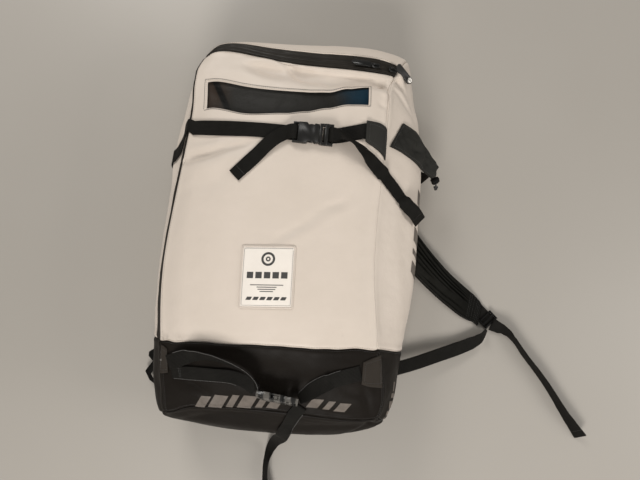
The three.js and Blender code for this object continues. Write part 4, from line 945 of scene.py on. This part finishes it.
STRAPS = [
    ("upper_tail_left_webbing", "upper_tail_left", WIDE - 1, "x y z over", [
        (4, 153.6, 214.8, None), (-0.8, 153.8, 217.6, None), (-6, 153.6, 216.4, None),
        (-14, 152.5, None, 4.4), (-30, 143, None, 4.2), (-44, 130, None, 3), (-58, 114, None, 0.9),
        (-92, 78, None, 0.8),
    ]),
    ("upper_strap_right_webbing", "upper_strap_right", WIDE, "x y over", [
        (55, 152.4, LIE), (69, 154.6, LIE), (90, 160.5, LIE), (112, 167.3, LIE), (124, 171, LIE),
    ]),
    ("upper_tail_right_webbing", "upper_tail_right", WIDE - 1, "x y z over bank", [
        (56, 152.4, 214.8, None, 0), (61.4, 152.6, 217.8, None, 0), (67.5, 152.4, 216.4, None, -10),
        (79, 150, None, 3, -54), (95, 143, None, 2.6, -62), (112, 131, None, 2, -44),
        (129, 116.5, None, 1.4, -16), (150, 99, None, 1.4, None), (170, 81.5, None, 1.4, None),
        (189, 63.5, None, 1.4, None), (206, 49.5, 160, None, None), (221.5, 36.5, 141, None, None),
    ]),
    ("lower_strap_left_webbing", "lower_strap_left", WIDE, "x y over bank", [
        (-176, -229, 1.6, None), (-160, -222, 3, None), (-145, -215, 3, 14), (-127, -209.5, 3.2, 44),
        (-104, -208, 4, 60), (-80, -212, 4.4, 66), (-58, -219, 4.4, 69), (-38, -229.5, 4.4, 70),
        (-26.5, -242.5, 4.4, 70), (-23.6, -255.8, 4, 70),
    ]),
    ("lower_tail_left_webbing", "lower_tail_left", WIDE - 3, "x y over", [
        (-168, -243, LIE), (-136, -239.5, LIE), (-100, -238, LIE), (-66, -238, LIE),
        (-44, -245, LIE), (-29, -255.5, LIE),
    ]),
    ("lower_strap_right_webbing", "lower_strap_right", WIDE, "x y over bank", [
        (134, -217, LIE, None), (106, -226, LIE, None), (82, -235.5, LIE, None), (64, -246, 2, 20),
        (51, -256.5, 2.6, 46), (41.6, -265, 3.4, 66),
    ]),
    ("lower_tail_right_webbing", "lower_tail_right", WIDE - 2, "x y z over bank", [
        (44, -279, None, LIE, None), (34, -295, None, LIE, None), (26, -313, None, 1.6, None),
        (19.5, -329, None, 2, None), (14, -346, 112, None, 12), (8, -359, 84, None, 22),
        (2, -371, 54, None, 30), (-5, -387, 26, None, 38), (-11, -403, 12, None, 48),
        (-15.5, -422, 11.6, None, 62), (-16, -448, 11.4, None, 62), (-11, -474, 9.5, None, 46),
        (-2, -496, 3.6, None, 14), (7, -512, 0.1, None, 0), (18, -530, 0.1, None, 0),
    ]),
    ("shoulder_strap_webbing", "shoulder_webbing", WIDE, "x y z bank", [
        (208.8, -233.8, 27, 0), (250, -219, 25, 0), (293, -202, 20, 0), (330, -187.5, 14, 0),
        (356, -176, 11, 10), (373, -165.5, 12.5, 30), (382.5, -154.5, 14, 52), (386.5, -145.5, 14.5, 62),
    ]),
    ("shoulder_tail_webbing", "shoulder_tail", WIDE, "x y z bank", [
        (398.8, -134.4, 9.5, 16), (413, -140, 10, 35), (427, -146, 11.2, 60), (439, -156, 12.4, 79),
        (450, -168, 12.5, 85), (467, -190, 12.4, 82), (488, -214, 12.3, 80), (509, -240, 12.3, 79),
        (529, -268, 12.1, 77), (542, -287, 11.8, 72), (559, -309, 10.9, 61), (578, -333, 9, 47),
    ]),
]
UNDER = {"upper": ["front_cloth"], "lower": ["boot_front"], "shoulder": []}
for name, node, width, keys, table in STRAPS:
    ribbon(name, *laid_lines(keys, table, width), node, UNDER[name.split("_")[0]])

# Sheets laid on the cloth: patches, the label and its stitched rim.

TOPS = {}


def sheet_object(name, node, slot, net, thick, look=None):
    """A sheet on a net of points, thick along its own normals."""
    net = np.asarray(net, float)
    normal = grid_normals(net)
    ids = np.arange(net[..., 0].size).reshape(net.shape[:2])
    top = net + normal * np.broadcast_to(thick, ids.shape)[..., None]
    uv = np.stack([arc(net, 0) * MM, arc(net, 1) * MM], -1).reshape(-1, 2)
    faces = grid_faces(*ids.shape)
    faces += [tuple(a + ids.size for a in f[::-1]) for f in faces]
    ring = border(ids).tolist()
    faces += [(a, a + ids.size, b + ids.size, b) for a, b in zip(ring[:-1], ring[1:])]
    points = np.concatenate([top.reshape(-1, 3), net.reshape(-1, 3)])
    TOPS[name] = top + normal * 0.1
    obj = dress(mesh_object(name, points, faces, np.concatenate([uv, uv + 0.002])), slot, node, look)
    return obj, float(uv[:, 0].max()), float(uv[:, 1].max())


def between(rows, count, columns):
    """Rows of low and high points, made finer: [count, columns, 3], low edge first."""
    fine = curve_at(rows, np.linspace(0, len(rows) - 1, count))
    half = fine.shape[1] // 2
    net = mix(fine[:, None, :half], fine[:, None, half:], np.linspace(0, 1, columns)[None, :, None])
    return np.concatenate([net, np.zeros((count, columns, 3 - half))], -1)


def hemmed(rows, columns, thick, hem=0.6, wide=2):
    """Thickness with a folded hem along the edges."""
    r, c = np.indices((rows, columns))
    near = np.minimum(np.minimum(r, rows - 1 - r), np.minimum(c, columns - 1 - c))
    return thick + hem * (1 - smooth((near - wide) / 1.5)) * smooth(near)


PATCHES = [
    # name, node, look, thickness, rows of x, y low, x, y high
    ("upper_patch", "upper_patch_right", "grey_patch", 1.9, [
        (114, 150, 114, 184), (126, 144.5, 126, 185), (137, 138.5, 137, 184.5),
        (144.5, 132, 144.5, 181), (149, 125, 149, 177)]),
    ("lower_left_patch", "lower_patch_left", "low_patch", 1.8, [
        (-191, -249, -191, -202), (-186, -249, -186, -204), (-176, -246, -179, -208)]),
    ("lower_right_patch", "lower_patch_right", "low_patch", 1.8, [
        (136, -234.5, 136, -200), (148.5, -238, 148.5, -194), (163.5, -239, 160.5, -188.5),
        (170, -239.5, 163, -187)]),
]
for name, node, look, thick, rows in PATCHES:
    net = np.array([[laid(x, y, 0.5) for x, y, _ in row] for row in between(rows, 28, 24)])
    if name == "upper_patch":  # it rises over the strap's end
        net[..., 2] += 2.6 * bell(net[..., 0] - 114, 9) * smooth((net[..., 1] - 146) / 8)
    made = sheet_object(name, node, "grey_patch", net, hemmed(28, 24, thick), look)

# The label: left, right, low and high edges, lean, slope, corner radius and width of its rim.
LEFT, RIGHT, LOW, HIGH = -67.8, 18.4, -128.5, -29.8
LEAN, SLOPE, RADIUS, RIM = -0.027, 5.5, 5, 3.6
LABEL_W, LABEL_H = RIGHT - LEFT, HIGH - LOW
RIM_LEVELS = [(0, 0.25), (0.25, 1.1), (0.8, 1.7), (1.8, 1.9), (2.9, 1.75), (3.5, 1.3), (4.0, 0.5)]


def label_point(u, v, over):
    y = mix(LOW, HIGH, v)
    return laid(mix(LEFT, RIGHT, u) + (y - HIGH) * LEAN, y + (u - 0.5) * SLOPE, over)


def ring_point(inset, radius, angle_step, over):
    """A point of a rounded rectangle on the label, by step round it from 0 to 4."""
    side, t = int(angle_step) % 4, angle_step - int(angle_step)
    w, h = LABEL_W - 2 * inset, LABEL_H - 2 * inset
    corners = [(w - radius, h - radius), (radius, h - radius), (radius, radius), (w - radius, radius)]
    bend, (cx, cy), (nx, ny) = 0.3, corners[side], corners[(side + 1) % 4]
    a = (side + min(t / bend, 1)) * math.pi / 2
    s = max(0, (t - bend) / (1 - bend))
    x, y = mix(cx, nx, s) + math.cos(a) * radius, mix(cy, ny, s) + math.sin(a) * radius
    return label_point((x + inset) / LABEL_W, (y + inset) / LABEL_H, over)


inset_u, inset_v = (RIM - 1) / LABEL_W, (RIM - 1) / LABEL_H
net = [[label_point(u, v, 0.5) for v in np.linspace(inset_v, 1 - inset_v, 24)]
       for u in np.linspace(inset_u, 1 - inset_u, 22)]
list(sheet_object("label_cloth", "label", "label_white", net, 0.9))
label_steps = np.linspace(0, 4, 161)[:-1]
points = [ring_point(inset, max(1.2, RADIUS - inset), step, over + 0.1)
          for step in label_steps for inset, over in RIM_LEVELS]
faces = grid_faces(len(label_steps), len(RIM_LEVELS), around=True)
rim = mesh_object("label_rim_cloth", points, faces, [(x * MM, y * MM) for x, y, _ in points])
dress(rim, "cream_cloth", "label_rim")

# The padded shoulder strap, with its lengthwise channels.
PAD = [
    # upper edge x, y, lower edge x, y, thickness
    (209, 72, 208, -22, 9), (219, 61, 218, -30, 12), (231, 47, 229, -40, 13), (246, 31, 245, -52, 14),
    (266, 8, 262, -67, 14), (285, -13, 280, -82, 14), (305, -33, 299, -97, 13), (325, -50, 319, -111, 13),
    (343, -64, 337, -123, 12), (360, -77, 352, -130, 11), (374, -90, 365, -134, 9),
    (380.5, -98, 373, -140, 7),
]
PAD_CHANNELS = [
    # place across at the bag and at the lock, half width, depth share, start and end along
    (0.08, 0.22, 0.022, 0.34, 0.0, 0.8), (0.2, 0.33, 0.018, 0.42, 0.0, 0.84),
    (0.36, 0.4, 0.026, 0.46, 0.0, 0.86), (0.5, 0.47, 0.016, 0.3, 0.12, 0.7),
    (0.66, 0.55, 0.03, 0.3, 0.0, 0.5), (0.86, 0.7, 0.022, 0.26, 0.3, 0.82),
    (0.9, 0.93, 0.02, 0.3, 0.0, 1.0),
]
PAD_ROWS, PAD_COLUMNS, PAD_LOW = 90, 56, 0.05
UNDER_BAG_X, PAD_GAP, PAD_LEAST, NOTHING_ABOVE = 245, 0.4, 0.7, 1000


def shoulder_pad():
    """The padded strap on the floor, under the bag's side at one end. Gives the net of its top."""
    fine = curve_at(PAD, np.linspace(0, len(PAD) - 1, PAD_ROWS))
    t = np.linspace(0, 1, PAD_COLUMNS)[None, :]
    along = np.linspace(0, 1, PAD_ROWS)[:, None]
    full = fine[:, 4:5]
    edge = np.minimum(t, 1 - t)
    thick = full * (0.16 + 0.84 * np.clip(np.sin(np.pi * np.clip(edge * 5.2, 0, 0.5)), 0, 1) ** 0.6)
    for near, far, wide, depth, start, end in PAD_CHANNELS:
        wander = mix(near, far, along) + 0.014 * np.sin(along * 9 + near * 20)
        fade = smooth((along - start) / 0.12 + (start == 0)) * smooth((end - along) / 0.16)
        thick = thick - full * depth * bell(t - wander, wide) * fade
    ripple = np.stack(np.broadcast_arrays(t * 60, along * 380, 0.0), -1)
    thick = thick + 1.1 * noise(ripple, 9, 2) * np.minimum(1, edge * 12) + 0.9 * noise(ripple, 26, 1)
    stitched = smooth((along - 0.8) / 0.03) * (1 - smooth((along - 0.975) / 0.02))
    thick = mix(thick, full * 0.62, stitched * 0.7)
    net = np.empty((PAD_ROWS, PAD_COLUMNS, 3))
    net[..., :2] = mix(fine[:, None, 0:2], fine[:, None, 2:4], t[..., None])
    net[..., 2] = PAD_LOW
    for place in zip(*np.nonzero(net[..., 0] < UNDER_BAG_X)):
        x, y, _ = net[place]
        thick[place] = min(thick[place], meet(skin_tree, x, y, PAD_LOW, 1, NOTHING_ABOVE) - PAD_GAP)
    thick = np.maximum(thick, PAD_LEAST)
    obj = sheet_object("shoulder_pad_cloth", "shoulder_pad", "pad_cloth", net[:, ::-1], thick[:, ::-1])[0]
    net[..., 2] = thick + 0.15
    return net


pad_top = shoulder_pad()

FLAP = [
    # high edge x, y, z, low edge x, y, z; no z where it lies on the gusset
    (178, 198, None, 156.5, 150.5, None), (187, 196.5, None, 166, 149.5, None),
    (197, 195, None, 177, 147.5, None), (207, 193.5, None, 189, 144, None),
    (217, 189, 118, 202, 140, None), (228, 180, 104, 215, 136, 128),
    (243, 167, 91, 230, 131.5, 107), (262, 151, 77, 247, 126.5, 87),
]


def cord_flap(count=64, columns=34):
    """The cord flap, hanging off the right gusset and crumpled towards its end."""
    rows = [(lx, ly, lz or top_at(lx, ly) + 1, hx, hy, hz or top_at(hx, hy) + 1)
            for hx, hy, hz, lx, ly, lz in FLAP]
    net = between(rows, count, columns)
    for point in net.reshape(-1, 3):
        top = top_at(*point[:2])
        if top > 0 and point[2] > top - 30:
            point[2] = max(point[2], top + 0.5)
    r, c = np.linspace(0, 1, count)[:, None], np.linspace(0, 1, columns)[None, :]
    bulge = 2.4 + 5.5 * np.minimum(1, r * 1.6) * np.sin(np.pi * np.clip(c, 0.001, 0.999)) ** 0.8
    crumple = 4.6 * noise(net * (1, 1, 0.6), 13, 2)
    fold = 3.2 * np.sin(r * 22 + c * 3 + 2 * noise(net, 30, 1)) * smooth((r - 0.25) * 3)
    bulge = bulge + (crumple + fold) * np.sin(np.pi * c) ** 0.5
    obj = sheet_object("cord_flap_cloth", "cord_flap", "flap_cloth", net, np.maximum(bulge, 1.4))[0]


cord_flap()

# Cloth tabs and moulded fittings keep the frame's shapes, with rounded edges.

LIFT_LIMIT = 0.008
WELD_GAP = 0.00002
zip_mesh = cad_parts["zip_tape"].data
zip_tree = BVHTree.FromPolygons([v.co / MM for v in zip_mesh.vertices],
                                [tuple(p.vertices) for p in zip_mesh.polygons])


def middle_of(node):
    return np.add(*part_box(node)) / 2 / MM


def zip_lift(node):
    """How far the dressed zip lies above the frame's zip under a fitting, in metres."""
    x, y, _ = middle_of(node)
    low = meet(zip_tree, x, y, 400, -1, None)
    return 0.0 if low is None else min(LIFT_LIMIT, max(0.0, (top_at(x, y) - low) * MM))


def rounded_copy(node, name, slot, width, look=None):
    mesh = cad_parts[node].data.copy()
    if node in ("slider_left", "slider_right", "pull_left"):
        mesh.transform(Matrix.Translation((0, 0, zip_lift(node))))
    mesh.name = name
    obj = linked(bpy.data.objects.new(name, mesh))
    obj.modifiers.new("weld", "WELD").merge_threshold = WELD_GAP
    flat = obj.modifiers.new("flat", "DECIMATE")
    flat.decimate_type = "DISSOLVE"
    flat.angle_limit = math.radians(2)
    bevel = obj.modifiers.new("bevel", "BEVEL")
    bevel.width = width * MM
    bevel.segments = 2
    bevel.limit_method = "ANGLE"
    bevel.angle_limit = math.radians(28)
    bevel.harden_normals = True
    made = bpy.data.meshes.new_from_object(obj.evaluated_get(bpy.context.evaluated_depsgraph_get()))
    obj.modifiers.clear()
    obj.data = made
    made.polygons.foreach_set("use_smooth", [True] * len(made.polygons))
    return dress(obj, slot, node, look)


COPIES = [
    # node, name, slot, width of the rounding, look
    ("upper_buckle_socket", "upper_socket", "buckle_plastic", 0.6, None),
    ("upper_buckle_plug", "upper_plug", "buckle_plastic", 0.5, None),
    ("lower_buckle_socket", "lower_socket", "buckle_plastic", 0.6, "buckle_grey"),
    ("lower_buckle_plug", "lower_plug", "buckle_plastic", 0.5, "buckle_grey"),
    ("shoulder_lock", "ladder_lock", "buckle_plastic", 0.5, "lock_plastic"),
    ("cord_lock", "cord_lock_ball", "buckle_plastic", 0.4, "lock_plastic"),
    ("slider_left", "zip_slider_left", "zip_metal", 0.4, None),
    ("slider_right", "zip_slider_right", "zip_metal", 0.4, None),
    ("pull_left", "zip_pull_left", "zip_metal", 0.6, None),
    ("pull_right", "zip_pull_right", "pull_rubber", 0.5, None),
    ("left_anchor", "anchor_loop", "webbing", 0.5, None),
    ("left_anchor_web", "anchor_webbing", "webbing", 0.5, None),
    ("left_tab", "side_tab", "webbing", 0.4, None),
    ("cord_flap_back", "flap_backing", "black_cloth", 0.3, None),
]
for row in COPIES:
    piece = rounded_copy(*row)

# Webbing in the slots of the buckles, as deep as its loops go.
for node, turn, bank in (("upper_buckle", -1.2, 0), ("lower_buckle", -7, 70)):
    middle = (middle_of(node + "_socket") + middle_of(node + "_plug")) / 2
    a, b = math.radians(turn), math.radians(bank)
    way = np.array([math.cos(a), math.sin(a), 0.0])
    side = np.array([-math.sin(a) * math.cos(b), math.cos(a) * math.cos(b), math.sin(b)])
    for end, name in ((-1, "left"), (1, "right")):
        line = middle + way * (np.linspace(30, 16, 5)[::-end, None] * end) - np.cross(way, side) * 1.4
        ribbon(f"{node}_{name}_loop", line + side * 11.5, line - side * 11.5, thick=2.6, held="stretched")

# Webbing through the ladder lock.
turn, reach = math.radians(-42.7), np.linspace(-27, 11, 14)
way, side = np.array([math.cos(turn), math.sin(turn), 0]), np.array([-math.sin(turn), math.cos(turn), 0]) * 12
line = np.array([392.8, -126.4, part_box("shoulder_lock")[0][2] / MM + 1.2]) + way * reach[:, None]
line[:, 2] += 1.2 * np.cos(np.maximum(reach, -11) / 11 * math.pi)
ribbon("lock_webbing", line + side, line - side, thick=1.6, held="stretched")

# The drawcord with its knot, a thick loop wound round itself.
CORD = 3


def cord_piece(name, points, resolution, node=None, closed=False):
    curve = bpy.data.curves.new(name, "CURVE")
    curve.dimensions = "3D"
    curve.bevel_depth = CORD / 2 * MM
    curve.bevel_resolution = resolution
    curve.use_fill_caps = not closed
    spline = curve.splines.new("POLY")
    spline.points.add(len(points) - 1)
    for point, place in zip(spline.points, points):
        point.co = (*(place * MM), 1)
    spline.use_cyclic_u = closed
    return dress(linked(bpy.data.objects.new(name, curve)), "cord", node)


line = curve_at([(252.6, 142.1, 79.8), (256.4, 133, 77), (259, 126, 74), (262, 119, 69), (263, 115, 65.5)],
                np.linspace(0, 4, 24))
drawcord = cord_piece("drawcord_line", line, 4, "drawcord")
t = np.linspace(0, 2 * np.pi, 60)
loop = np.stack([np.sin(t) + 2 * np.sin(2 * t), np.cos(t) - 2 * np.cos(2 * t), -np.sin(3 * t)], -1) * 1.15
knot = cord_piece("drawcord_knot", loop + (263.0, 114.2, 64.4), 3, closed=True)
float(arc(line)[-1]) * MM


def turned(name, slot, middle, along, side, rows, columns, node=None, look=None, wrap=False):
    """A turned piece round an axis: rows is the count of steps round it, columns reach and height."""
    points = []
    for n in range(rows):
        a = 2 * math.pi * n / rows
        out = along * math.cos(a) + side * math.sin(a)
        points += [middle + out * reach + np.cross(along, side) * height for reach, height in columns]
    faces = grid_faces(rows, len(columns), around=True, wrap=wrap)
    dress(mesh_object(name, points, faces), slot, node, look)


# The eyelet in the right pull, which lies along the pull.
pull = unit(np.array([190, 279.5, 145.0]) - (161, 296.5, 171.0))
tube = [2 * math.pi * h / 12 for h in range(12)]
turned("zip_pull_eyelet", "bright_metal", middle_of("pull_eyelet"), pull, unit(np.cross(UP, pull)), 48,
       [(2.75 + 2.5 * math.cos(b), math.sin(b)) for b in tube], "pull_eyelet", wrap=True)

# Stitches: short rounded lengths of thread, joined into one piece for each seam.

RINGS = ((0.0, 0.25), (0.14, 0.95), (0.86, 0.95), (1.0, 0.25))
CORNERS = 5


def stitches(name, slot, look, paths, long=2.8, gap=1.2, radius=0.34):
    points, faces = [], []
    for path in paths:
        path = np.asarray(path, float)
        run = arc(path)
        count = int(run[-1] // (long + gap))
        for start in np.arange(count) * (long + gap) + (run[-1] - count * (long + gap)) / 2:
            ends = points_at(path, run, [start, start + long])
            way = unit(ends[1] - ends[0])
            one = unit(np.cross(way, (0.13, 0.21, 1.0)))
            two = np.cross(way, one)
            base = len(points)
            for place, share in RINGS:
                for k in range(CORNERS):
                    a = 2 * math.pi * k / CORNERS
                    out = (one * math.cos(a) + two * math.sin(a)) * radius * share
                    points.append(mix(ends[0], ends[1], place) + out)
            faces += grid_faces(len(RINGS), CORNERS, offset=base, wrap=True)
            faces.append(tuple(base + k for k in range(CORNERS)))
            faces.append(tuple(base + (len(RINGS) - 1) * CORNERS + k for k in reversed(range(CORNERS))))
    dress(mesh_object(name, points, faces), slot, look=look)


STITCH_LIFT, BOOT_STITCH_LIFT = 0.25, 0.6
front_lift, front_high = [front_skin + front_out * lift for lift in (STITCH_LIFT, BOOT_STITCH_LIFT)]
band_lift, band_high = [band_skin + band_out * lift for lift in (STITCH_LIFT, BOOT_STITCH_LIFT)]


def window_ring(out_i, out_j):
    """A line round the window, some net rows outside it."""
    a, b, c, d = w0 - out_i, w1 + out_i, h0 - out_j, h1 + out_j
    line = [(i, c) for i in np.arange(a, b, 0.5)] + [(b, j) for j in np.arange(c, d, 0.5)]
    line += [(i, d) for i in np.arange(b, a, -0.5)] + [(a, j) for j in np.arange(d, c, -0.5)] + [(a, c)]
    made = []
    for i, j in line:
        i0, j0 = int(i), int(j)
        near, far = (mix(front_lift[i0, n], front_lift[i0 + 1, n], i - i0) for n in (j0, j0 + 1))
        made.append(mix(near, far, j - j0))
    return made


def loop_rows(first, last):
    return [k % LOOP for k in range(first, last)]


def label_ring(inset, radius, over):
    return [ring_point(inset, radius, s, over) for s in np.append(label_steps, 4.0 - 1e-6)]


def hem_line(name, place):
    """A line across webbing, this far from its start, or from its end if negative."""
    left, right, run = TAPES[name + "_webbing"]
    place = run[-1] + place if place < 0 else place
    ends = [points_at(line, run, place) for line in (left, right)]
    return [mix(*ends, u) for u in np.linspace(0.06, 0.94, 9)]


right_boot, bottom_right = RIGHT_BOOT * FINE, BOTTOM_RIGHT * FINE
stitches("window_stitches", "black_cloth", "black_thread", [window_ring(1.7, 1.5)], 3.2, 0.5, 0.42)
stitches("window_inner_stitches", "cream_cloth", "cream_thread", [window_ring(0.8, 0.7)], 2.6, 1.2, 0.3)
stitches("panel_stitches", "cream_cloth", "cream_thread", [
    front_lift[2:-2, -3], front_lift[2, boot + 2 : -2], front_lift[2:-2, boot + 1],
])
stitches("boot_stitches", "black_cloth", "dark_thread", [
    front_high[2:-2, boot - 1], front_high[2, 2 : boot - 1], front_high[-3, 2 : boot - 1],
    front_high[2:-2, 2],
], radius=0.26)
stitches("gusset_stitches", "cream_cloth", "cream_thread", [
    band_lift[loop_rows(TOP_RIGHT * FINE + 2, right_boot), 1],
    band_lift[loop_rows(LEFT_BOOT * FINE + 2, TOP_RIGHT * FINE), FINE + 1],
    band_lift[right_boot - 1, 2:60],
])
stitches("boot_side_stitches", "black_cloth", "dark_thread", [
    band_high[loop_rows(right_boot + 1, LOOP), 1], band_high[right_boot + 1, 2:60],
    band_high[bottom_right - 1, 2:60], band_high[bottom_right + 1, 2:60],
], radius=0.24)
stitches("patch_stitches", "grey_patch", "black_thread",
         [border(TOPS[row[0]], 3) for row in PATCHES], 2.2, 1.0, 0.3)
stitches("label_stitches", "label_white", "black_thread", [label_ring(4.9, 1.6, 1.75)], 2.2, 0.9, 0.3)
stitches("rim_stitches", "cream_cloth", "cream_thread", [label_ring(1.9, 3.0, 2.05)], 2.2, 1.0, 0.3)
stitches("webbing_stitches", "webbing", "black_thread", [hem_line(*row) for row in (
    ("upper_tail_left", -14), ("upper_tail_right", -15), ("lower_tail_right", -14), ("lower_tail_left", 17),
    ("lower_tail_left", 20), ("shoulder_tail", -14), ("upper_strap_left", -22), ("upper_strap_right", 22),
)], 2.0, 0.9, 0.3)
pad_places = (0.8, 0.83, 0.86, 0.89, 0.92, 0.95, 0.985)
stitches("pad_stitches", "pad_cloth", "dark_thread",
         [pad_top[int(place * (PAD_ROWS - 1)), 3:-3] for place in pad_places]
         + [pad_top[4:, column] for column in (2, PAD_COLUMNS - 3)], 2.6, 1.2, 0.24)
stitches("flap_stitches", "flap_cloth", "black_thread", [border(TOPS["cord_flap_cloth"], 2)], 2.4, 1.2, 0.32)

# Painted highlights: thin lighter threads along the edge where slack webbing stands on its edge, in place of
# the light that edge catches. Side, and from and to along it.
painted_edge_highlights = []
for name, side, start, end in (
    ("lower_strap_left_webbing", 0, 20, -3), ("lower_strap_right_webbing", 1, 30, -3),
    ("lower_tail_right_webbing", 0, 8, 75), ("lower_tail_left_webbing", 1, 4, -30),
):
    run = TAPES[name][2]
    line, other = TAPES[name][side], TAPES[name][1 - side]
    places = np.arange(start, run[-1] + end if end < 0 else end, 2.0)
    painted_edge_highlights.append(points_at(line + unit(line - other) * 0.1, run, places))
stitches("painted_edge_highlights", "webbing", "painted_edge_highlight", painted_edge_highlights, 4.0, 0.1, 0.42)

# Printed marks: plain bars, lines and a ring.


def decal(name, slot, look, quads, surface, rows=8, columns=10):
    """Thin printed shapes on a surface. Each quad has four corners in the surface's coordinates."""
    points, faces = [], []
    for a, b, c, d in np.asarray(quads, float):
        faces += grid_faces(rows, columns, offset=len(points))
        points += [surface(*mix(mix(a, b, u), mix(d, c, u), v))
                   for u in np.linspace(0, 1, rows) for v in np.linspace(0, 1, columns)]
    dress(mesh_object(name, points, faces), slot, look=look)


def ring_quads(cx, cy, inner, outer, count):
    ring = [2 * math.pi * n / count for n in range(count + 1)]
    return [
        [(cx + r * math.cos(a), cy + r * math.sin(a) * LABEL_W / LABEL_H)
         for r, a in ((inner, a), (outer, a), (outer, b), (inner, b))]
        for a, b in zip(ring[:-1], ring[1:])
    ]


def bar(x0, x1, y0, y1, lean=0.0):
    return [(x0, y0), (x1, y0), (x1 + lean, y1), (x0 + lean, y1)]


label_quads = ring_quads(0.5, 0.78, 0.085, 0.125, 28) + ring_quads(0.5, 0.78, 0.02, 0.045, 16)
label_quads += [bar(0.13 + n * 0.155, 0.13 + n * 0.155 + 0.115, 0.475, 0.575) for n in range(5)]
label_quads += [bar(0.5 - half, 0.5 + half, 0.365 - n * 0.034, 0.377 - n * 0.034)
                for n, half in enumerate((0.3, 0.18, 0.16, 0.12))]
label_quads += [bar(0.13 + n * 0.125, 0.13 + n * 0.125 + 0.09, 0.135, 0.185, 0.03) for n in range(6)]
decal("label_print", "label_white", "label_ink", label_quads, lambda u, v: label_point(u, v, 1.62), 4, 3)

BOOT_MARKS = [
    # left x, right x at the low edge, low y, high y, lean
    (-128, -112, -297, -276, 12), (-106, -84, -295, -272, 12), (-77, -66, -292, -269, 12),
    (-59, -37, -291, -268, 12), (-30, -19, -289, -267, 12), (-12, 6, -288, -266, 12),
    (52, 70, -281, -264, 10), (78, 89, -282, -266, 10), (96, 114, -284, -268, 10),
]
# Marks of the right side: start and end round the loop, depth rows, lean.
GUSSET_MARKS = [
    (41.0, 41.7, 3.0, 3.9, 0.5), (42.1, 42.4, 3.0, 3.9, 0.5), (42.8, 43.5, 2.9, 3.9, 0.5),
    (43.9, 44.2, 2.9, 3.9, 0.5), (44.6, 45.2, 2.9, 3.9, 0.5),
]
SIDE_MARKS = [
    (51.0, 51.75, 1.95, 2.3), (51.86, 52.1, 1.7, 2.3), (52.2, 52.44, 1.5, 2.25),
    (52.54, 52.72, 1.3, 2.15), (52.8, 52.95, 1.2, 2.05),
]
for name, slot, marks, surface in (
    ("boot_print", "black_cloth", BOOT_MARKS, lambda x, y: laid(x, y, 0.85)),
    ("gusset_print", "cream_cloth", GUSSET_MARKS, lambda k, d: gusset_point(k, d, 0.4)),
    ("boot_side_print", "black_cloth", SIDE_MARKS, lambda k, d: gusset_point(k, d, 0.75)),
):
    decal(name, slot, "print_grey", [bar(*row) for row in marks], surface)

# The snap on the lower left patch.
turned("patch_snap", "grey_patch", np.array(laid(-190.5, -227, 2.5)),
       np.array([1.0, 0, 0]), np.array([0, 1.0, 0]), 20,
       ((2.0, 0.0), (1.9, 0.8), (1.3, 1.2), (0.05, 1.25)), look="buckle_grey")

# Floor, light and world.

FLOOR_HALF = 4000
corners = [(x * FLOOR_HALF, y * FLOOR_HALF, 0) for x, y in ((-1, -1), (1, -1), (1, 1), (-1, 1))]
floor = mesh_object("floor", corners, [(0, 1, 2, 3)])
floor.data.materials.append(MATERIALS["floor"])

LIGHTS = [
    # name, place in metres, aimed at, size, power, colour
    ("key", (-0.1, -2.15, 1.75), (0, -0.1, 0.1), 0.9, 51, (1.0, 0.965, 0.925)),
    ("top", (-1.1, 2.2, 1.8), (0.1, 0.6, 0.1), 1.0, 42, (1.0, 0.975, 0.94)),
    ("side", (2.3, -0.3, 1.2), (0.2, 0, 0.1), 1.0, 20, (1.0, 0.97, 0.935)),
]
for name, place, aim, size, power, color in LIGHTS:
    light = bpy.data.lights.new(name, "AREA")
    light.shape, light.size, light.energy, light.color = "SQUARE", size, power, color
    lamp = linked(bpy.data.objects.new(name, light))
    lamp.location = place
    lamp.rotation_euler = (Vector(aim) - Vector(place)).to_track_quat("-Z", "Y").to_euler()

world = bpy.data.worlds.new("studio")
world.use_nodes = True
background = world.node_tree.nodes["Background"].inputs
background["Color"].default_value = (0.95, 0.94, 0.92, 1)
background["Strength"].default_value = 0.34
bpy.context.scene.world = world
bpy.context.scene.view_settings.view_transform = "Standard"
bpy.context.scene.view_settings.look = "None"
